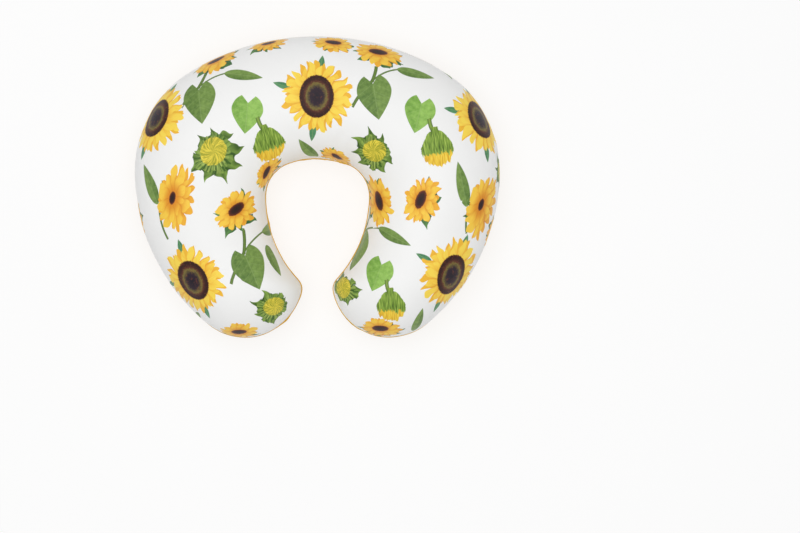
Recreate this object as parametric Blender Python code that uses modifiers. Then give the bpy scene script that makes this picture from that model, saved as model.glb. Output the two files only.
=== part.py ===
"""A C-shaped nursing pillow: a zipped two-sided slip cover over a fibre-filled inner pillow.

Frame: metres, +Z up. The pillow lies on its plush side on the plane Z = 0, printed side up, with the
middle of its plan at X = Y = 0. The opening between the two arms faces -Y and the crown lies at +Y.

Each cloth panel is one sheet that runs from its seam allowance, round a small fold at the edge, over
the filling to the ridge along the middle of the arm. The right half is lofted and then mirrored.
"""

import math

import bmesh
import bpy
import numpy as np
from mathutils import Matrix, Vector

# ---- Overall size ----------------------------------------------------------------------------
WIDTH = 0.560
DEPTH = 0.461
SEAM_HEIGHT = 0.070  # of the edge seam above the table
TOP_HEIGHT = 0.080  # of the ridge above the seam
BOTTOM_HEIGHT = 0.074  # of the underside below the seam, before weight flattens it on the table

# ---- Plan outline: tangent arcs, outside from the crown to the tip, then round the opening ------
CROWN_RADIUS = 0.380
CROWN_MARGIN = 0.008  # of the crown's arc past the zip's tapes
TIP_RADIUS = 0.0887  # of the arms' round ends
TIP_GAP = 0.048  # between the two arms, at its narrowest
TIP_RISE = 0.074  # from the arms' ends to the centres of the corners beside the gap
TIP_CORNER_RADIUS = 0.019
OPENING_WIDTH = 0.160
CROWN_BREADTH = 0.187  # from the crown's outer edge to the opening
OPENING_TOP_RADIUS = 0.130
OPENING_CORNER_RADIUS = 0.052
ROUND_END_SHARE = 0.58  # of the side arc, where the cloth begins to round the arm's end

# ---- Cloth and sewing --------------------------------------------------------------------------
PRINT_THICKNESS = 0.0012
PLUSH_THICKNESS = 0.0025
TICKING_THICKNESS = 0.0005
FOLD_RADIUS = 0.004  # of the cloth's turn at the seam
CHANNEL_DEPTH = 0.008  # from the outer edge in to the zip's tape
FLANGE_LENGTH = 0.005  # of the seam allowance past the channel
SEAM_GAP = 0.0006  # between two cloths sewn face to face
CONTACT_GAP = 0.0003  # between pieces that touch
LAYER_GAP = 0.0015  # between the cover and the inner pillow
FILLING_GAP = 0.0006  # between the filling and its case
OVERLOCK_WIDTH = 0.003
THREAD_THICKNESS = 0.0003
TOPSTITCH_RADIUS = 0.00025
TOPSTITCH_SETBACK = 0.003  # from the fold to the row of stitches beside the zip

# ---- Inner pillow ------------------------------------------------------------------------------
INNER_INSET = 0.020  # of the inner pillow's seam from the cover's
TICKING_FOLD_RADIUS = 0.0015
TICKING_ALLOWANCE = 0.006

# ---- Zip ---------------------------------------------------------------------------------------
CHAIN_LENGTH = 0.321
WINDOW_CLEARANCE = 0.015  # from a stop to the window's end, which the pull tab swings through
WINDOW_MARGIN = 0.0005  # between the slider's sides and the folded cloths beside it
WINDOW_CLOSING = 0.006  # length over which the window closes
TAPE_OVERRUN = 0.008  # of the tapes past the window's end
TAPE_WIDTH = 0.013
TAPE_THICKNESS = 0.0006
CHAIN_SLOT_HALF = 0.0007  # half the slot that the slider's post runs in
COIL_WIDTH = 0.0022
COIL_THICKNESS = 0.0022
STOP_LENGTH = 0.003
STOP_THICKNESS = 0.0012

# ---- Slider and pull tab, in their own axes: X towards the closed end, Y outwards, Z up ---------
SLIDER_LENGTH = 0.012
SLIDER_FLARE = 0.0008  # by which its nose is wider than its tail
BLADE_THICKNESS = 0.0012
SLIDER_CLEARANCE = 0.00045  # between the slider and what runs through it
RIM_THICKNESS = 0.0008
POST_WIDTH = 0.0007
POST_LENGTH = 0.003
BRIDGE_LENGTH = 0.007
BRIDGE_WIDTH = 0.0022
BRIDGE_HEIGHT = 0.0033
BRIDGE_THICKNESS = 0.0009
TAB_LENGTH = 0.024
TAB_WIDTH = 0.0072
TAB_THICKNESS = 0.0013
TAB_BAR = 0.0012  # breadth of the tab's bar inside the bridge
SLIDER_END_GAP = 0.0006  # between the slider and a stop, at either end of its travel

# ---- Labels ------------------------------------------------------------------------------------
CARE_LABEL_WIDTH = 0.030
CARE_LABEL_DROP = 0.018
CARE_LABEL_DEPTH = 0.0118  # of its middle inside the cover's outer edge
FILLING_LABEL_WIDTH = 0.045
FILLING_LABEL_DROP = 0.030
FILLING_LABEL_SETOFF = 0.0015  # outside the inner pillow's seam
RIBBON_THICKNESS = 0.0003
LABEL_FOLD_RADIUS = 0.0006

# ---- How finely curves are divided ---------------------------------------------------------------
CROWN_STEPS = 8  # from the middle of the zip to the window's end
ARM_SPACING = 0.069  # between the cover's sections along an arm
INNER_SPACING = 0.056  # between the inner pillow's sections
TIP_STEPS = 9
FOLD_STEPS = 2
DOME_STEPS = 6

# ---- What follows from these -----------------------------------------------------------------------
RIM_INNER = CHAIN_SLOT_HALF + COIL_WIDTH + SLIDER_CLEARANCE
SLIDER_TAIL_WIDTH = 2 * (RIM_INNER + RIM_THICKNESS + CONTACT_GAP / 2)
SLIDER_NOSE_WIDTH = SLIDER_TAIL_WIDTH + SLIDER_FLARE
WINDOW_HALF = SLIDER_NOSE_WIDTH / 2 + WINDOW_MARGIN  # half the gap between the cloths at the zip
CHAIN_END = CHAIN_LENGTH / 2
WINDOW_END = CHAIN_END + STOP_LENGTH + WINDOW_CLEARANCE
TAPE_END = WINDOW_END + TAPE_OVERRUN
FLANGE_END = TAPE_END + 2 * CONTACT_GAP
TAPE_RADIUS = CROWN_RADIUS - CHANNEL_DEPTH - CONTACT_GAP  # of the tapes' outer face

COLLECTION = bpy.data.collections.new("nursing_pillow")
CUTTERS = bpy.data.collections.new("cutters")


# ==== Plan outline ==================================================================================
class Arc:
    """An arc in plan from one angle to another. The pillow lies within its circle, or outside it."""

    def __init__(self, centre, radius, start, end, pillow_within=True):
        self.centre = np.array(centre, float)
        self.radius = radius
        self.start = start
        self.end = end
        self.sign = -1 if pillow_within else 1
        self.length = radius * abs(end - start)

    def at(self, distance):
        """(point, normal into the pillow) at a distance along the arc."""
        angle = self.start + (self.end - self.start) * distance / self.length
        outward = np.array((math.cos(angle), math.sin(angle)))
        return self.centre + self.radius * outward, self.sign * outward


def direction(vector):
    return math.atan2(vector[1], vector[0])


def on_crown(length):
    """A length along the zip's tapes, as the length of the crown's outer arc over the same angle."""
    return length * CROWN_RADIUS / TAPE_RADIUS


def outline_arcs():
    """The arcs of the right half, from the crown's middle round the tip to the opening's middle."""
    quarter = math.pi / 2
    crown_centre = np.array((0, DEPTH / 2 - CROWN_RADIUS))
    lean = (on_crown(FLANGE_END) + CROWN_MARGIN) / CROWN_RADIUS
    shoulder_radius = (WIDTH / 2 - CROWN_RADIUS * math.sin(lean)) / (1 - math.sin(lean))
    reach = CROWN_RADIUS - shoulder_radius
    shoulder_centre = crown_centre + reach * np.array((math.sin(lean), math.cos(lean)))

    top_centre = np.array((0, DEPTH / 2 - CROWN_BREADTH - OPENING_TOP_RADIUS))
    turn_x = OPENING_WIDTH / 2 - OPENING_CORNER_RADIUS
    turn_reach = OPENING_TOP_RADIUS - OPENING_CORNER_RADIUS
    turn = math.asin(turn_x / turn_reach)
    turn_centre = top_centre + turn_reach * np.array((math.sin(turn), math.cos(turn)))

    # The opening's side arc touches its upper corner from without, and the corner beside the gap.
    corner_centre = np.array((TIP_GAP / 2 + TIP_CORNER_RADIUS, TIP_RISE - DEPTH / 2))
    u, v = corner_centre - (OPENING_WIDTH / 2, turn_centre[1])
    inner_radius = (u * u + v * v - TIP_CORNER_RADIUS**2) / (2 * (TIP_CORNER_RADIUS - u))
    inner_centre = np.array((OPENING_WIDTH / 2 - inner_radius, turn_centre[1]))
    inner_start = direction(corner_centre - inner_centre)
    corner_end = direction(inner_centre - corner_centre) % -math.tau

    # The tip's circle stands on the arms' lowest line, round the corner beside the gap, and the
    # side arc runs from the widest place to it.
    tip_span = (TIP_RADIUS - TIP_CORNER_RADIUS) ** 2 - (TIP_RADIUS - TIP_RISE) ** 2
    tip_centre = np.array((corner_centre[0] + math.sqrt(tip_span), TIP_RADIUS - DEPTH / 2))
    u, v = tip_centre - (WIDTH / 2, shoulder_centre[1])
    side_radius = (u * u + v * v - TIP_RADIUS**2) / (-2 * (u + TIP_RADIUS))
    side_centre = np.array((WIDTH / 2 - side_radius, shoulder_centre[1]))
    side_end = direction(tip_centre - side_centre)
    corner_start = direction(corner_centre - tip_centre) % -math.tau

    return [
        Arc(crown_centre, CROWN_RADIUS, quarter, quarter - lean),
        Arc(shoulder_centre, shoulder_radius, quarter - lean, 0),
        Arc(side_centre, side_radius, 0, side_end),
        Arc(tip_centre, TIP_RADIUS, side_end, corner_start),
        Arc(corner_centre, TIP_CORNER_RADIUS, corner_start, corner_end),
        Arc(inner_centre, inner_radius, inner_start, 0, False),
        Arc(turn_centre, OPENING_CORNER_RADIUS, 0, quarter - turn, False),
        Arc(top_centre, OPENING_TOP_RADIUS, quarter - turn, quarter, False),
    ]


ARCS = outline_arcs()
CROWN_CENTRE = ARCS[0].centre
OUTLINE_LENGTH = sum(arc.length for arc in ARCS)
ROUND_END_START = ARCS[0].length + ARCS[1].length + ARCS[2].length * ROUND_END_SHARE
OPENING_LENGTH = sum(arc.length for arc in ARCS[5:]) + ARCS[4].length / 2


def outline(distance):
    """(point, normal into the pillow) at a distance from the crown's middle along the outline."""
    for arc in ARCS[:-1]:
        if distance <= arc.length:
            return arc.at(distance)
        distance -= arc.length
    return ARCS[-1].at(min(distance, ARCS[-1].length))


def facing(distance):
    """How far along the outline lies the point across the arm from a point on its outer side."""
    share = distance / ROUND_END_START
    return OUTLINE_LENGTH - OPENING_LENGTH * (0.55 * share + 0.45 * share**5)


class Station:
    """A place on the outline, with the ridge point that its cloth rises to."""

    def __init__(self, distance, ridge, window=0.0, turned=0.0):
        self.edge, self.inward = outline(distance)
        self.ridge = ridge
        self.window = window  # 0 where the two cloths meet, 1 where the zip shows
        self.turned = turned  # 0 where the allowance points inwards, 1 where it lies on the tape


def zip_stations():
    """(distance, window, turned) along the crown, closest where the zip's window opens and closes."""
    steps = [on_crown(WINDOW_END * i / CROWN_STEPS) for i in range(CROWN_STEPS + 1)]
    rows = [(step, 1.0, 1.0) for step in steps]
    rows.append((on_crown(WINDOW_END + WINDOW_CLOSING), 0.0, 1.0))
    rows.append((on_crown(FLANGE_END), 0.0, 1.0))
    rows.append((on_crown(FLANGE_END + CHANNEL_DEPTH + FLANGE_LENGTH), 0.0, 0.0))
    return rows


def arm_distances(start, spacing):
    """Even distances from a start to where the arm's end begins, no further apart than the spacing."""
    steps = math.ceil((ROUND_END_START - start) / spacing)
    return [start + (ROUND_END_START - start) * i / steps for i in range(1, steps + 1)]


def stations(outer_rows, tip_steps):
    """The half outline as Stations: down the outer side, round the tip and back up the opening."""
    ridges = []
    for distance, _, _ in outer_rows:
        ridges.append((outline(distance)[0] + outline(facing(distance))[0]) / 2)
    found = [Station(row[0], ridge, *row[1:]) for row, ridge in zip(outer_rows, ridges)]
    first, last = outer_rows[-1][0], facing(outer_rows[-1][0])
    for i in range(1, tip_steps):
        found.append(Station(first + (last - first) * i / tip_steps, ridges[-1]))
    for row, ridge in zip(reversed(outer_rows), reversed(ridges)):
        found.append(Station(facing(row[0]), ridge))
    return found


def cover_stations():
    rows = zip_stations()
    rows += [(d, 0.0, 0.0) for d in arm_distances(rows[-1][0], ARM_SPACING)]
    return stations(rows, TIP_STEPS)


def inner_stations():
    rows = [(d, 0.0, 0.0) for d in [0.0, *arm_distances(0.0, INNER_SPACING)]]
    return stations(rows, TIP_STEPS)


# ==== Sections of cloth, from the seam allowance to the ridge ========================================
def placed(station, depth, height):
    """A point at a depth inside the outline and a height above the seam."""
    plan = station.edge + depth * station.inward
    return Vector((plan[0], plan[1], SEAM_HEIGHT + height))


def dome(station, inset, base, rise, side, floor):
    """The section's curve from its upright start over to the ridge. side is 1 above the seam, -1 below."""
    start = station.edge + inset * station.inward
    points = []
    for i in range(1, DOME_STEPS + 1):
        angle = math.pi / 2 * i / DOME_STEPS
        plan = station.ridge + math.cos(angle) * (start - station.ridge)
        height = side * (base + (rise - base) * math.sin(angle))
        points.append(Vector((plan[0], plan[1], max(floor, SEAM_HEIGHT + height))))
    return points


def turned_edge(station, inset, half_gap, radius, side):
    """The cloth's turn at the seam, from facing its partner to upright."""
    points = []
    for i in range(FOLD_STEPS + 1):
        angle = math.pi / 2 * i / FOLD_STEPS
        depth = inset + radius * (1 - math.sin(angle))
        height = side * (half_gap + radius * (1 - math.cos(angle)))
        points.append(placed(station, depth, height))
    return points


def cover_section(station, side, rise):
    """A cover panel's section. Beside the zip its allowance turns up to lie on the tape."""
    half_gap = SEAM_GAP / 2 + station.window * (WINDOW_HALF - SEAM_GAP / 2)
    turn = station.turned * math.pi / 2
    end_depth = CHANNEL_DEPTH + FLANGE_LENGTH * math.cos(turn)
    end_height = half_gap + FLANGE_LENGTH * math.sin(turn)
    allowance = [
        placed(station, end_depth, side * end_height),
        placed(station, CHANNEL_DEPTH, side * half_gap),
    ]
    edge = turned_edge(station, 0, half_gap, FOLD_RADIUS, side)
    return allowance + edge + dome(station, 0, half_gap + FOLD_RADIUS, rise, side, 0)


def ticking_section(station, side, rise, floor):
    """An inner case panel's section, with its allowance turned inwards."""
    gap, radius = SEAM_GAP / 2, TICKING_FOLD_RADIUS
    allowance = [placed(station, INNER_INSET + TICKING_ALLOWANCE, side * gap)]
    edge = turned_edge(station, INNER_INSET, gap, radius, side)
    return allowance + edge + dome(station, INNER_INSET, gap + radius, rise, side, floor)


def half_filling_section(station, side, rise, floor):
    """The filling's section on one side of the seam, notched round the inner case's allowances."""
    notch = SEAM_GAP / 2 + TICKING_THICKNESS + THREAD_THICKNESS + 2 * CONTACT_GAP
    inset = INNER_INSET + TICKING_THICKNESS + FILLING_GAP
    end = INNER_INSET + TICKING_ALLOWANCE + THREAD_THICKNESS + 3 * CONTACT_GAP
    base = SEAM_GAP / 2 + TICKING_FOLD_RADIUS
    points = [placed(station, end, side * notch), placed(station, inset, side * base)]
    return points + dome(station, inset, base, rise, side, floor)


def overlock_section(station, depth, upper, lower):
    """Thread wrapped over the raw edges of two allowances: a flat U round them."""
    end = depth + CONTACT_GAP
    start = depth - OVERLOCK_WIDTH
    return [
        placed(station, start, upper),
        placed(station, end, upper),
        placed(station, end, -lower),
        placed(station, start, -lower),
    ]


# ==== Objects ===========================================================================================
def material(name, colour, roughness, metallic=0.0):
    made = bpy.data.materials.new(name)
    made.use_nodes = True
    shader = made.node_tree.nodes["Principled BSDF"]
    shader.inputs["Base Color"].default_value = (*colour, 1)
    shader.inputs["Roughness"].default_value = roughness
    shader.inputs["Metallic"].default_value = metallic
    return made


def add_object(name, mesh, finish, collection=COLLECTION):
    made = bpy.data.objects.new(name, mesh)
    mesh.materials.clear()
    mesh.materials.append(finish)
    collection.objects.link(made)
    return made


def mesh_of(name, build):
    """A mesh made by a function that fills a bmesh."""
    bm = bmesh.new()
    build(bm)
    made = bpy.data.meshes.new(name)
    bm.to_mesh(made)
    bm.free()
    return made


def lofted(name, rows):
    """An open sheet through rows of points. Points that coincide, as on the ridge, are welded.

    It is made of triangles, so that sheets that lie against each other are creased alike.
    """

    def build(bm):
        grid = [[bm.verts.new(point) for point in row] for row in rows]
        for near, far in zip(grid, grid[1:]):
            for i in range(len(near) - 1):
                bm.faces.new((near[i], near[i + 1], far[i + 1]))
                bm.faces.new((near[i], far[i + 1], far[i]))
        bmesh.ops.remove_doubles(bm, verts=bm.verts, dist=1e-6)

    return mesh_of(name, build)


def smooth(made):
    made.data.shade_smooth()
    made.data.set_sharp_from_angle(angle=math.radians(40))


def add_mirror(made):
    mirror = made.modifiers.new("Mirror", "MIRROR")
    mirror.merge_threshold = 0.0001


def add_thickness(made, thickness, offset=-1):
    """Solidify against the faces' normals, or along them with an offset of 1."""
    solidify = made.modifiers.new("Solidify", "SOLIDIFY")
    solidify.thickness = thickness
    solidify.offset = offset


def sewn_panel(name, rows, thickness, finish, upper=True):
    """A mirrored sheet of cloth, its thickness on the pillow's inner side."""
    rows = rows if upper else [row[::-1] for row in rows]
    made = add_object(name, lofted(name, rows), finish)
    add_mirror(made)
    add_thickness(made, thickness)
    smooth(made)
    return made


def arc_strip(name, angles, radius, low, high, thickness, finish):
    """A band that stands upright on the crown's arc, its thickness outwards from the radius."""
    rows = []
    for angle in angles:
        plan = CROWN_CENTRE + radius * np.array((math.sin(angle), math.cos(angle)))
        rows.append([Vector((*plan, SEAM_HEIGHT + low)), Vector((*plan, SEAM_HEIGHT + high))])
    made = add_object(name, lofted(name, rows), finish)
    add_thickness(made, thickness, 1)
    return made


def box_mesh(name, low, high):
    size = Vector(high) - Vector(low)

    def build(bm):
        bmesh.ops.create_cube(bm, size=1)
        bmesh.ops.scale(bm, vec=size, verts=bm.verts)
        bmesh.ops.translate(bm, vec=(Vector(high) + Vector(low)) / 2, verts=bm.verts)

    return mesh_of(name, build)


def plate_mesh(name, outline_points, thickness):
    """A flat outline in X and Z, of a thickness about Y = 0, from a filled 2D curve."""
    curve = bpy.data.curves.new(name, "CURVE")
    curve.dimensions = "2D"
    curve.fill_mode = "BOTH"
    curve.extrude = thickness / 2
    spline = curve.splines.new("POLY")
    spline.points.add(len(outline_points) - 1)
    for point, (x, z) in zip(spline.points, outline_points):
        point.co = (x, z, 0, 1)
    spline.use_cyclic_u = True
    drawn = bpy.data.objects.new(name, curve)
    bpy.context.scene.collection.objects.link(drawn)
    drawn.rotation_euler.x = math.pi / 2
    bpy.context.view_layer.update()
    graph = bpy.context.evaluated_depsgraph_get()
    made = bpy.data.meshes.new_from_object(drawn.evaluated_get(graph))
    made.transform(drawn.matrix_world)
    bpy.data.objects.remove(drawn)

    bm = bmesh.new()
    bm.from_mesh(made)
    bmesh.ops.remove_doubles(bm, verts=bm.verts, dist=1e-6)
    bmesh.ops.recalc_face_normals(bm, faces=bm.faces)
    bm.to_mesh(made)
    bm.free()
    return made


def boolean(made, mesh, operation):
    """Joins a mesh to an object, or cuts it, keeping the cutter as a hidden guide."""
    tool = bpy.data.objects.new(f"{made.name}_{operation.lower()}", mesh)
    CUTTERS.objects.link(tool)
    tool.parent = made
    tool.hide_render = True
    tool.display_type = "WIRE"
    modifier = made.modifiers.new(operation.title(), "BOOLEAN")
    modifier.operation = operation
    modifier.object = tool


def carrier(name, angle):
    """An empty on the crown's centre, turned so that its +Y points out at an angle from the middle."""
    made = bpy.data.objects.new(name, None)
    COLLECTION.objects.link(made)
    made.location = (*CROWN_CENTRE, SEAM_HEIGHT)
    made.rotation_euler.z = -angle
    return made


def seat(made, parent, y=TAPE_RADIUS):
    """Stands an object on the tapes' outer face under a carrier."""
    made.parent = parent
    made.location = (0, y, 0)
    return made


# ==== Sub-parts ===========================================================================================
def make_cover(finishes):
    loop = cover_stations()
    front = [cover_section(s, 1, TOP_HEIGHT) for s in loop]
    back = [cover_section(s, -1, BOTTOM_HEIGHT) for s in loop]
    sewn_panel("cover_front", front, PRINT_THICKNESS, finishes["print"])
    sewn_panel("cover_back", back, PLUSH_THICKNESS, finishes["plush"], upper=False)

    plain = [s for s in loop if not s.turned][1:]
    depth = CHANNEL_DEPTH + FLANGE_LENGTH
    upper = SEAM_GAP / 2 + PRINT_THICKNESS + CONTACT_GAP
    lower = SEAM_GAP / 2 + PLUSH_THICKNESS + CONTACT_GAP
    rows = [overlock_section(s, depth, upper, lower) for s in plain]
    overlock("cover_overlock_thread", rows, finishes["thread"])


def overlock(name, rows, finish):
    made = add_object(name, lofted(name, rows), finish)
    add_mirror(made)
    add_thickness(made, THREAD_THICKNESS)
    smooth(made)


def make_inner_pillow(finishes):
    loop = inner_stations()
    shrink = LAYER_GAP + PRINT_THICKNESS
    case_rise = TOP_HEIGHT - shrink
    case_drop = BOTTOM_HEIGHT - LAYER_GAP - PLUSH_THICKNESS
    case_floor = PLUSH_THICKNESS + 2 * CONTACT_GAP
    front = [ticking_section(s, 1, case_rise, 0) for s in loop]
    back = [ticking_section(s, -1, case_drop, case_floor) for s in loop]
    sewn_panel("inner_case_front", front, TICKING_THICKNESS, finishes["ticking"])
    sewn_panel("inner_case_back", back, TICKING_THICKNESS, finishes["ticking"], upper=False)

    wall = TICKING_THICKNESS + FILLING_GAP
    rows = []
    for s in loop:
        under = half_filling_section(s, -1, case_drop - wall, case_floor + wall)
        over = half_filling_section(s, 1, case_rise - wall, 0)
        rows.append(under[::-1] + over)
    filling = add_object("fibre_filling", lofted("fibre_filling", rows), finishes["fibre"])
    add_mirror(filling)
    smooth(filling)

    half = SEAM_GAP / 2 + TICKING_THICKNESS + CONTACT_GAP
    depth = INNER_INSET + TICKING_ALLOWANCE
    rows = [overlock_section(s, depth, half, half) for s in loop]
    overlock("inner_overlock_thread", rows, finishes["thread"])


def tape_angles(end):
    """Angles from one end of the zip to the other, at the cover's stations along the crown."""
    step = WINDOW_END / CROWN_STEPS
    count = math.ceil(end / step) - 1
    inner = [i * step for i in range(-count, count + 1)]
    return [length / TAPE_RADIUS for length in [-end, *inner, end]]


def make_zip(finishes):
    slot = CHAIN_SLOT_HALF
    for half, side in (("front", 1), ("back", -1)):
        low, high = sorted((side * slot, side * (slot + TAPE_WIDTH)))
        arc_strip(
            f"zip_tape_{half}",
            tape_angles(TAPE_END),
            TAPE_RADIUS - TAPE_THICKNESS,
            low,
            high,
            TAPE_THICKNESS,
            finishes["tape"],
        )
        low, high = sorted((side * slot, side * (slot + COIL_WIDTH)))
        arc_strip(
            f"zip_coil_{half}",
            tape_angles(CHAIN_END),
            TAPE_RADIUS + CONTACT_GAP,
            low,
            high,
            COIL_THICKNESS,
            finishes["coil"],
        )
        make_top_stop(f"zip_top_stop_{half}", side, finishes["metal"])
    make_bottom_stop(finishes["metal"])


def stop_levels():
    """The heights, from the tapes' outer face, of a stop's outer and inner faces and of the tape."""
    outer = CONTACT_GAP + STOP_THICKNESS
    inner = -TAPE_THICKNESS - CONTACT_GAP
    return outer, inner - STOP_THICKNESS, CONTACT_GAP, inner


def make_top_stop(name, side, finish):
    """A staple folded over one tape's edge, past the end of its coil."""
    outer, inner, over, under = stop_levels()
    half = STOP_LENGTH / 2 - CONTACT_GAP
    web = CHAIN_SLOT_HALF - CONTACT_GAP
    reach = CHAIN_SLOT_HALF + COIL_WIDTH
    low, high = sorted((side * CONTACT_GAP / 2, side * reach))
    body = box_mesh(name, (-half, inner, low), (half, outer, high))
    low, high = sorted((side * web, side * (reach + STOP_THICKNESS)))
    slot = box_mesh(f"{name}_slot", (-STOP_LENGTH, under, low), (STOP_LENGTH, over, high))
    made = add_object(name, body, finish)
    seat(made, carrier(f"{name}_carrier", (CHAIN_END + STOP_LENGTH / 2) / TAPE_RADIUS))
    boolean(made, slot, "DIFFERENCE")


def make_bottom_stop(finish):
    """A staple through the slot between the tapes, which holds them together at the open end."""
    name = "zip_bottom_stop"
    outer, inner, over, under = stop_levels()
    half = STOP_LENGTH / 2 - CONTACT_GAP
    web = CHAIN_SLOT_HALF - CONTACT_GAP
    reach = CHAIN_SLOT_HALF + COIL_WIDTH
    body = box_mesh(name, (-half, inner, -reach), (half, outer, reach))
    made = add_object(name, body, finish)
    seat(made, carrier(f"{name}_carrier", -(CHAIN_END + STOP_LENGTH / 2) / TAPE_RADIUS))
    for side in (1, -1):
        low, high = sorted((side * web, side * (reach + STOP_THICKNESS)))
        slot = box_mesh(f"{name}_slot", (-STOP_LENGTH, under, low), (STOP_LENGTH, over, high))
        boolean(made, slot, "DIFFERENCE")


def rounded_outline(half_length, nose, tail, corner):
    """A blade's outline: wider at its nose (+X) than at its tail, with all corners cut round."""
    corners = [
        (half_length, -nose / 2),
        (half_length, nose / 2),
        (-half_length, tail / 2),
        (-half_length, -tail / 2),
    ]
    points = []
    for i, (x, z) in enumerate(corners):
        here = Vector((x, z))
        before = (Vector(corners[i - 1]) - here).normalized()
        after = (Vector(corners[(i + 1) % 4]) - here).normalized()
        for share in (0, 0.5, 1):
            away = before.lerp(after, share) * corner * (1 if share != 0.5 else 0.6)
            points.append(tuple(here + away))
    return points


def slider_levels():
    """Heights from the tapes' outer face: the upper blade's two faces, then the lower blade's two."""
    upper = CONTACT_GAP + COIL_THICKNESS + SLIDER_CLEARANCE
    lower = -TAPE_THICKNESS - SLIDER_CLEARANCE
    return upper, upper + BLADE_THICKNESS, lower, lower - BLADE_THICKNESS


def make_slider(finish):
    """Two blades held apart by a post at the nose, with rims on the upper one and a bridge over it."""
    upper_in, upper_out, lower_in, lower_out = slider_levels()
    half = SLIDER_LENGTH / 2
    blade = rounded_outline(half, SLIDER_NOSE_WIDTH, SLIDER_TAIL_WIDTH, 0.0012)
    upper = plate_mesh("slider_body", blade, BLADE_THICKNESS)
    upper.transform(Matrix.Translation((0, (upper_in + upper_out) / 2, 0)))
    made = add_object("slider_body", upper, finish)

    lower = plate_mesh("lower_blade", blade, BLADE_THICKNESS)
    lower.transform(Matrix.Translation((0, (lower_in + lower_out) / 2, 0)))
    bite = BLADE_THICKNESS / 2
    nose = half - POST_WIDTH
    post = box_mesh(
        "post",
        (nose - POST_LENGTH, lower_in - bite, -POST_WIDTH / 2),
        (nose, upper_in + bite, POST_WIDTH / 2),
    )
    boolean(made, post, "UNION")
    boolean(made, lower, "UNION")

    rim_low = SLIDER_CLEARANCE
    rim_half = half - 2 * RIM_THICKNESS
    for side in (1, -1):
        low, high = sorted((side * RIM_INNER, side * (RIM_INNER + RIM_THICKNESS)))
        rim = box_mesh("rim", (-rim_half, rim_low, low), (rim_half, upper_in + bite, high))
        boolean(made, rim, "UNION")

    arch = box_mesh(
        "bridge",
        (-BRIDGE_LENGTH / 2, upper_out - bite, -BRIDGE_WIDTH / 2),
        (BRIDGE_LENGTH / 2, upper_out + BRIDGE_HEIGHT, BRIDGE_WIDTH / 2),
    )
    hole_half = BRIDGE_LENGTH / 2 - BRIDGE_THICKNESS
    hole = box_mesh(
        "bridge_hole",
        (-hole_half, upper_out, -BRIDGE_WIDTH),
        (hole_half, upper_out + BRIDGE_HEIGHT - BRIDGE_THICKNESS, BRIDGE_WIDTH),
    )
    boolean(made, arch, "UNION")
    boolean(made, hole, "DIFFERENCE")
    return made


def pivot_level():
    """Height of the pull tab's axis above the tapes' outer face: the middle of the bridge's hole."""
    return slider_levels()[1] + (BRIDGE_HEIGHT - BRIDGE_THICKNESS) / 2


def make_pull_tab(finish):
    """A flat tab that lies back over the closed chain, with a bar that turns inside the bridge."""
    start = TAB_BAR / 2
    end = start - TAB_LENGTH
    middle = (start + end) / 2
    body = rounded_outline(TAB_LENGTH / 2, TAB_WIDTH, TAB_WIDTH * 0.86, 0.0018)
    body = [(x + middle, z) for x, z in body]
    made = add_object("pull_tab", plate_mesh("pull_tab", body, TAB_THICKNESS), finish)
    sweep = math.hypot(BRIDGE_LENGTH / 2, BRIDGE_HEIGHT) + SLIDER_CLEARANCE
    hole_half = BRIDGE_WIDTH / 2 + SLIDER_CLEARANCE
    hole = box_mesh(
        "tab_hole",
        (-sweep, -TAB_THICKNESS, -hole_half),
        (-TAB_BAR / 2, TAB_THICKNESS, hole_half),
    )
    boolean(made, hole, "DIFFERENCE")
    grip = box_mesh(
        "grip_hole",
        (end + 0.003, -TAB_THICKNESS, -TAB_WIDTH / 5),
        (end + 0.010, TAB_THICKNESS, TAB_WIDTH / 5),
    )
    boolean(made, grip, "DIFFERENCE")
    return made


def make_slider_and_tab(finish):
    rest = (CHAIN_END - SLIDER_LENGTH / 2 - SLIDER_END_GAP) / TAPE_RADIUS
    axis = carrier("slider_axis", rest)
    seat(make_slider(finish), axis)
    seat(make_pull_tab(finish), axis, TAPE_RADIUS + pivot_level())


def make_topstitching(finish):
    """A row of thread on the cover beside each edge of the zip's window."""
    height = WINDOW_HALF + FOLD_RADIUS + TOPSTITCH_SETBACK
    radius = CROWN_RADIUS + TOPSTITCH_RADIUS + CONTACT_GAP
    for half, side in (("front", 1), ("back", -1)):
        curve = bpy.data.curves.new(f"topstitch_{half}", "CURVE")
        curve.dimensions = "3D"
        curve.bevel_depth = TOPSTITCH_RADIUS
        curve.bevel_resolution = 1
        curve.use_fill_caps = True
        spline = curve.splines.new("POLY")
        angles = tape_angles(WINDOW_END)
        spline.points.add(len(angles) - 1)
        for point, angle in zip(spline.points, angles):
            plan = CROWN_CENTRE + radius * np.array((math.sin(angle), math.cos(angle)))
            point.co = (*plan, SEAM_HEIGHT + side * height, 1)
        curve.materials.append(finish)
        COLLECTION.objects.link(bpy.data.objects.new(f"topstitch_{half}", curve))


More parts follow.
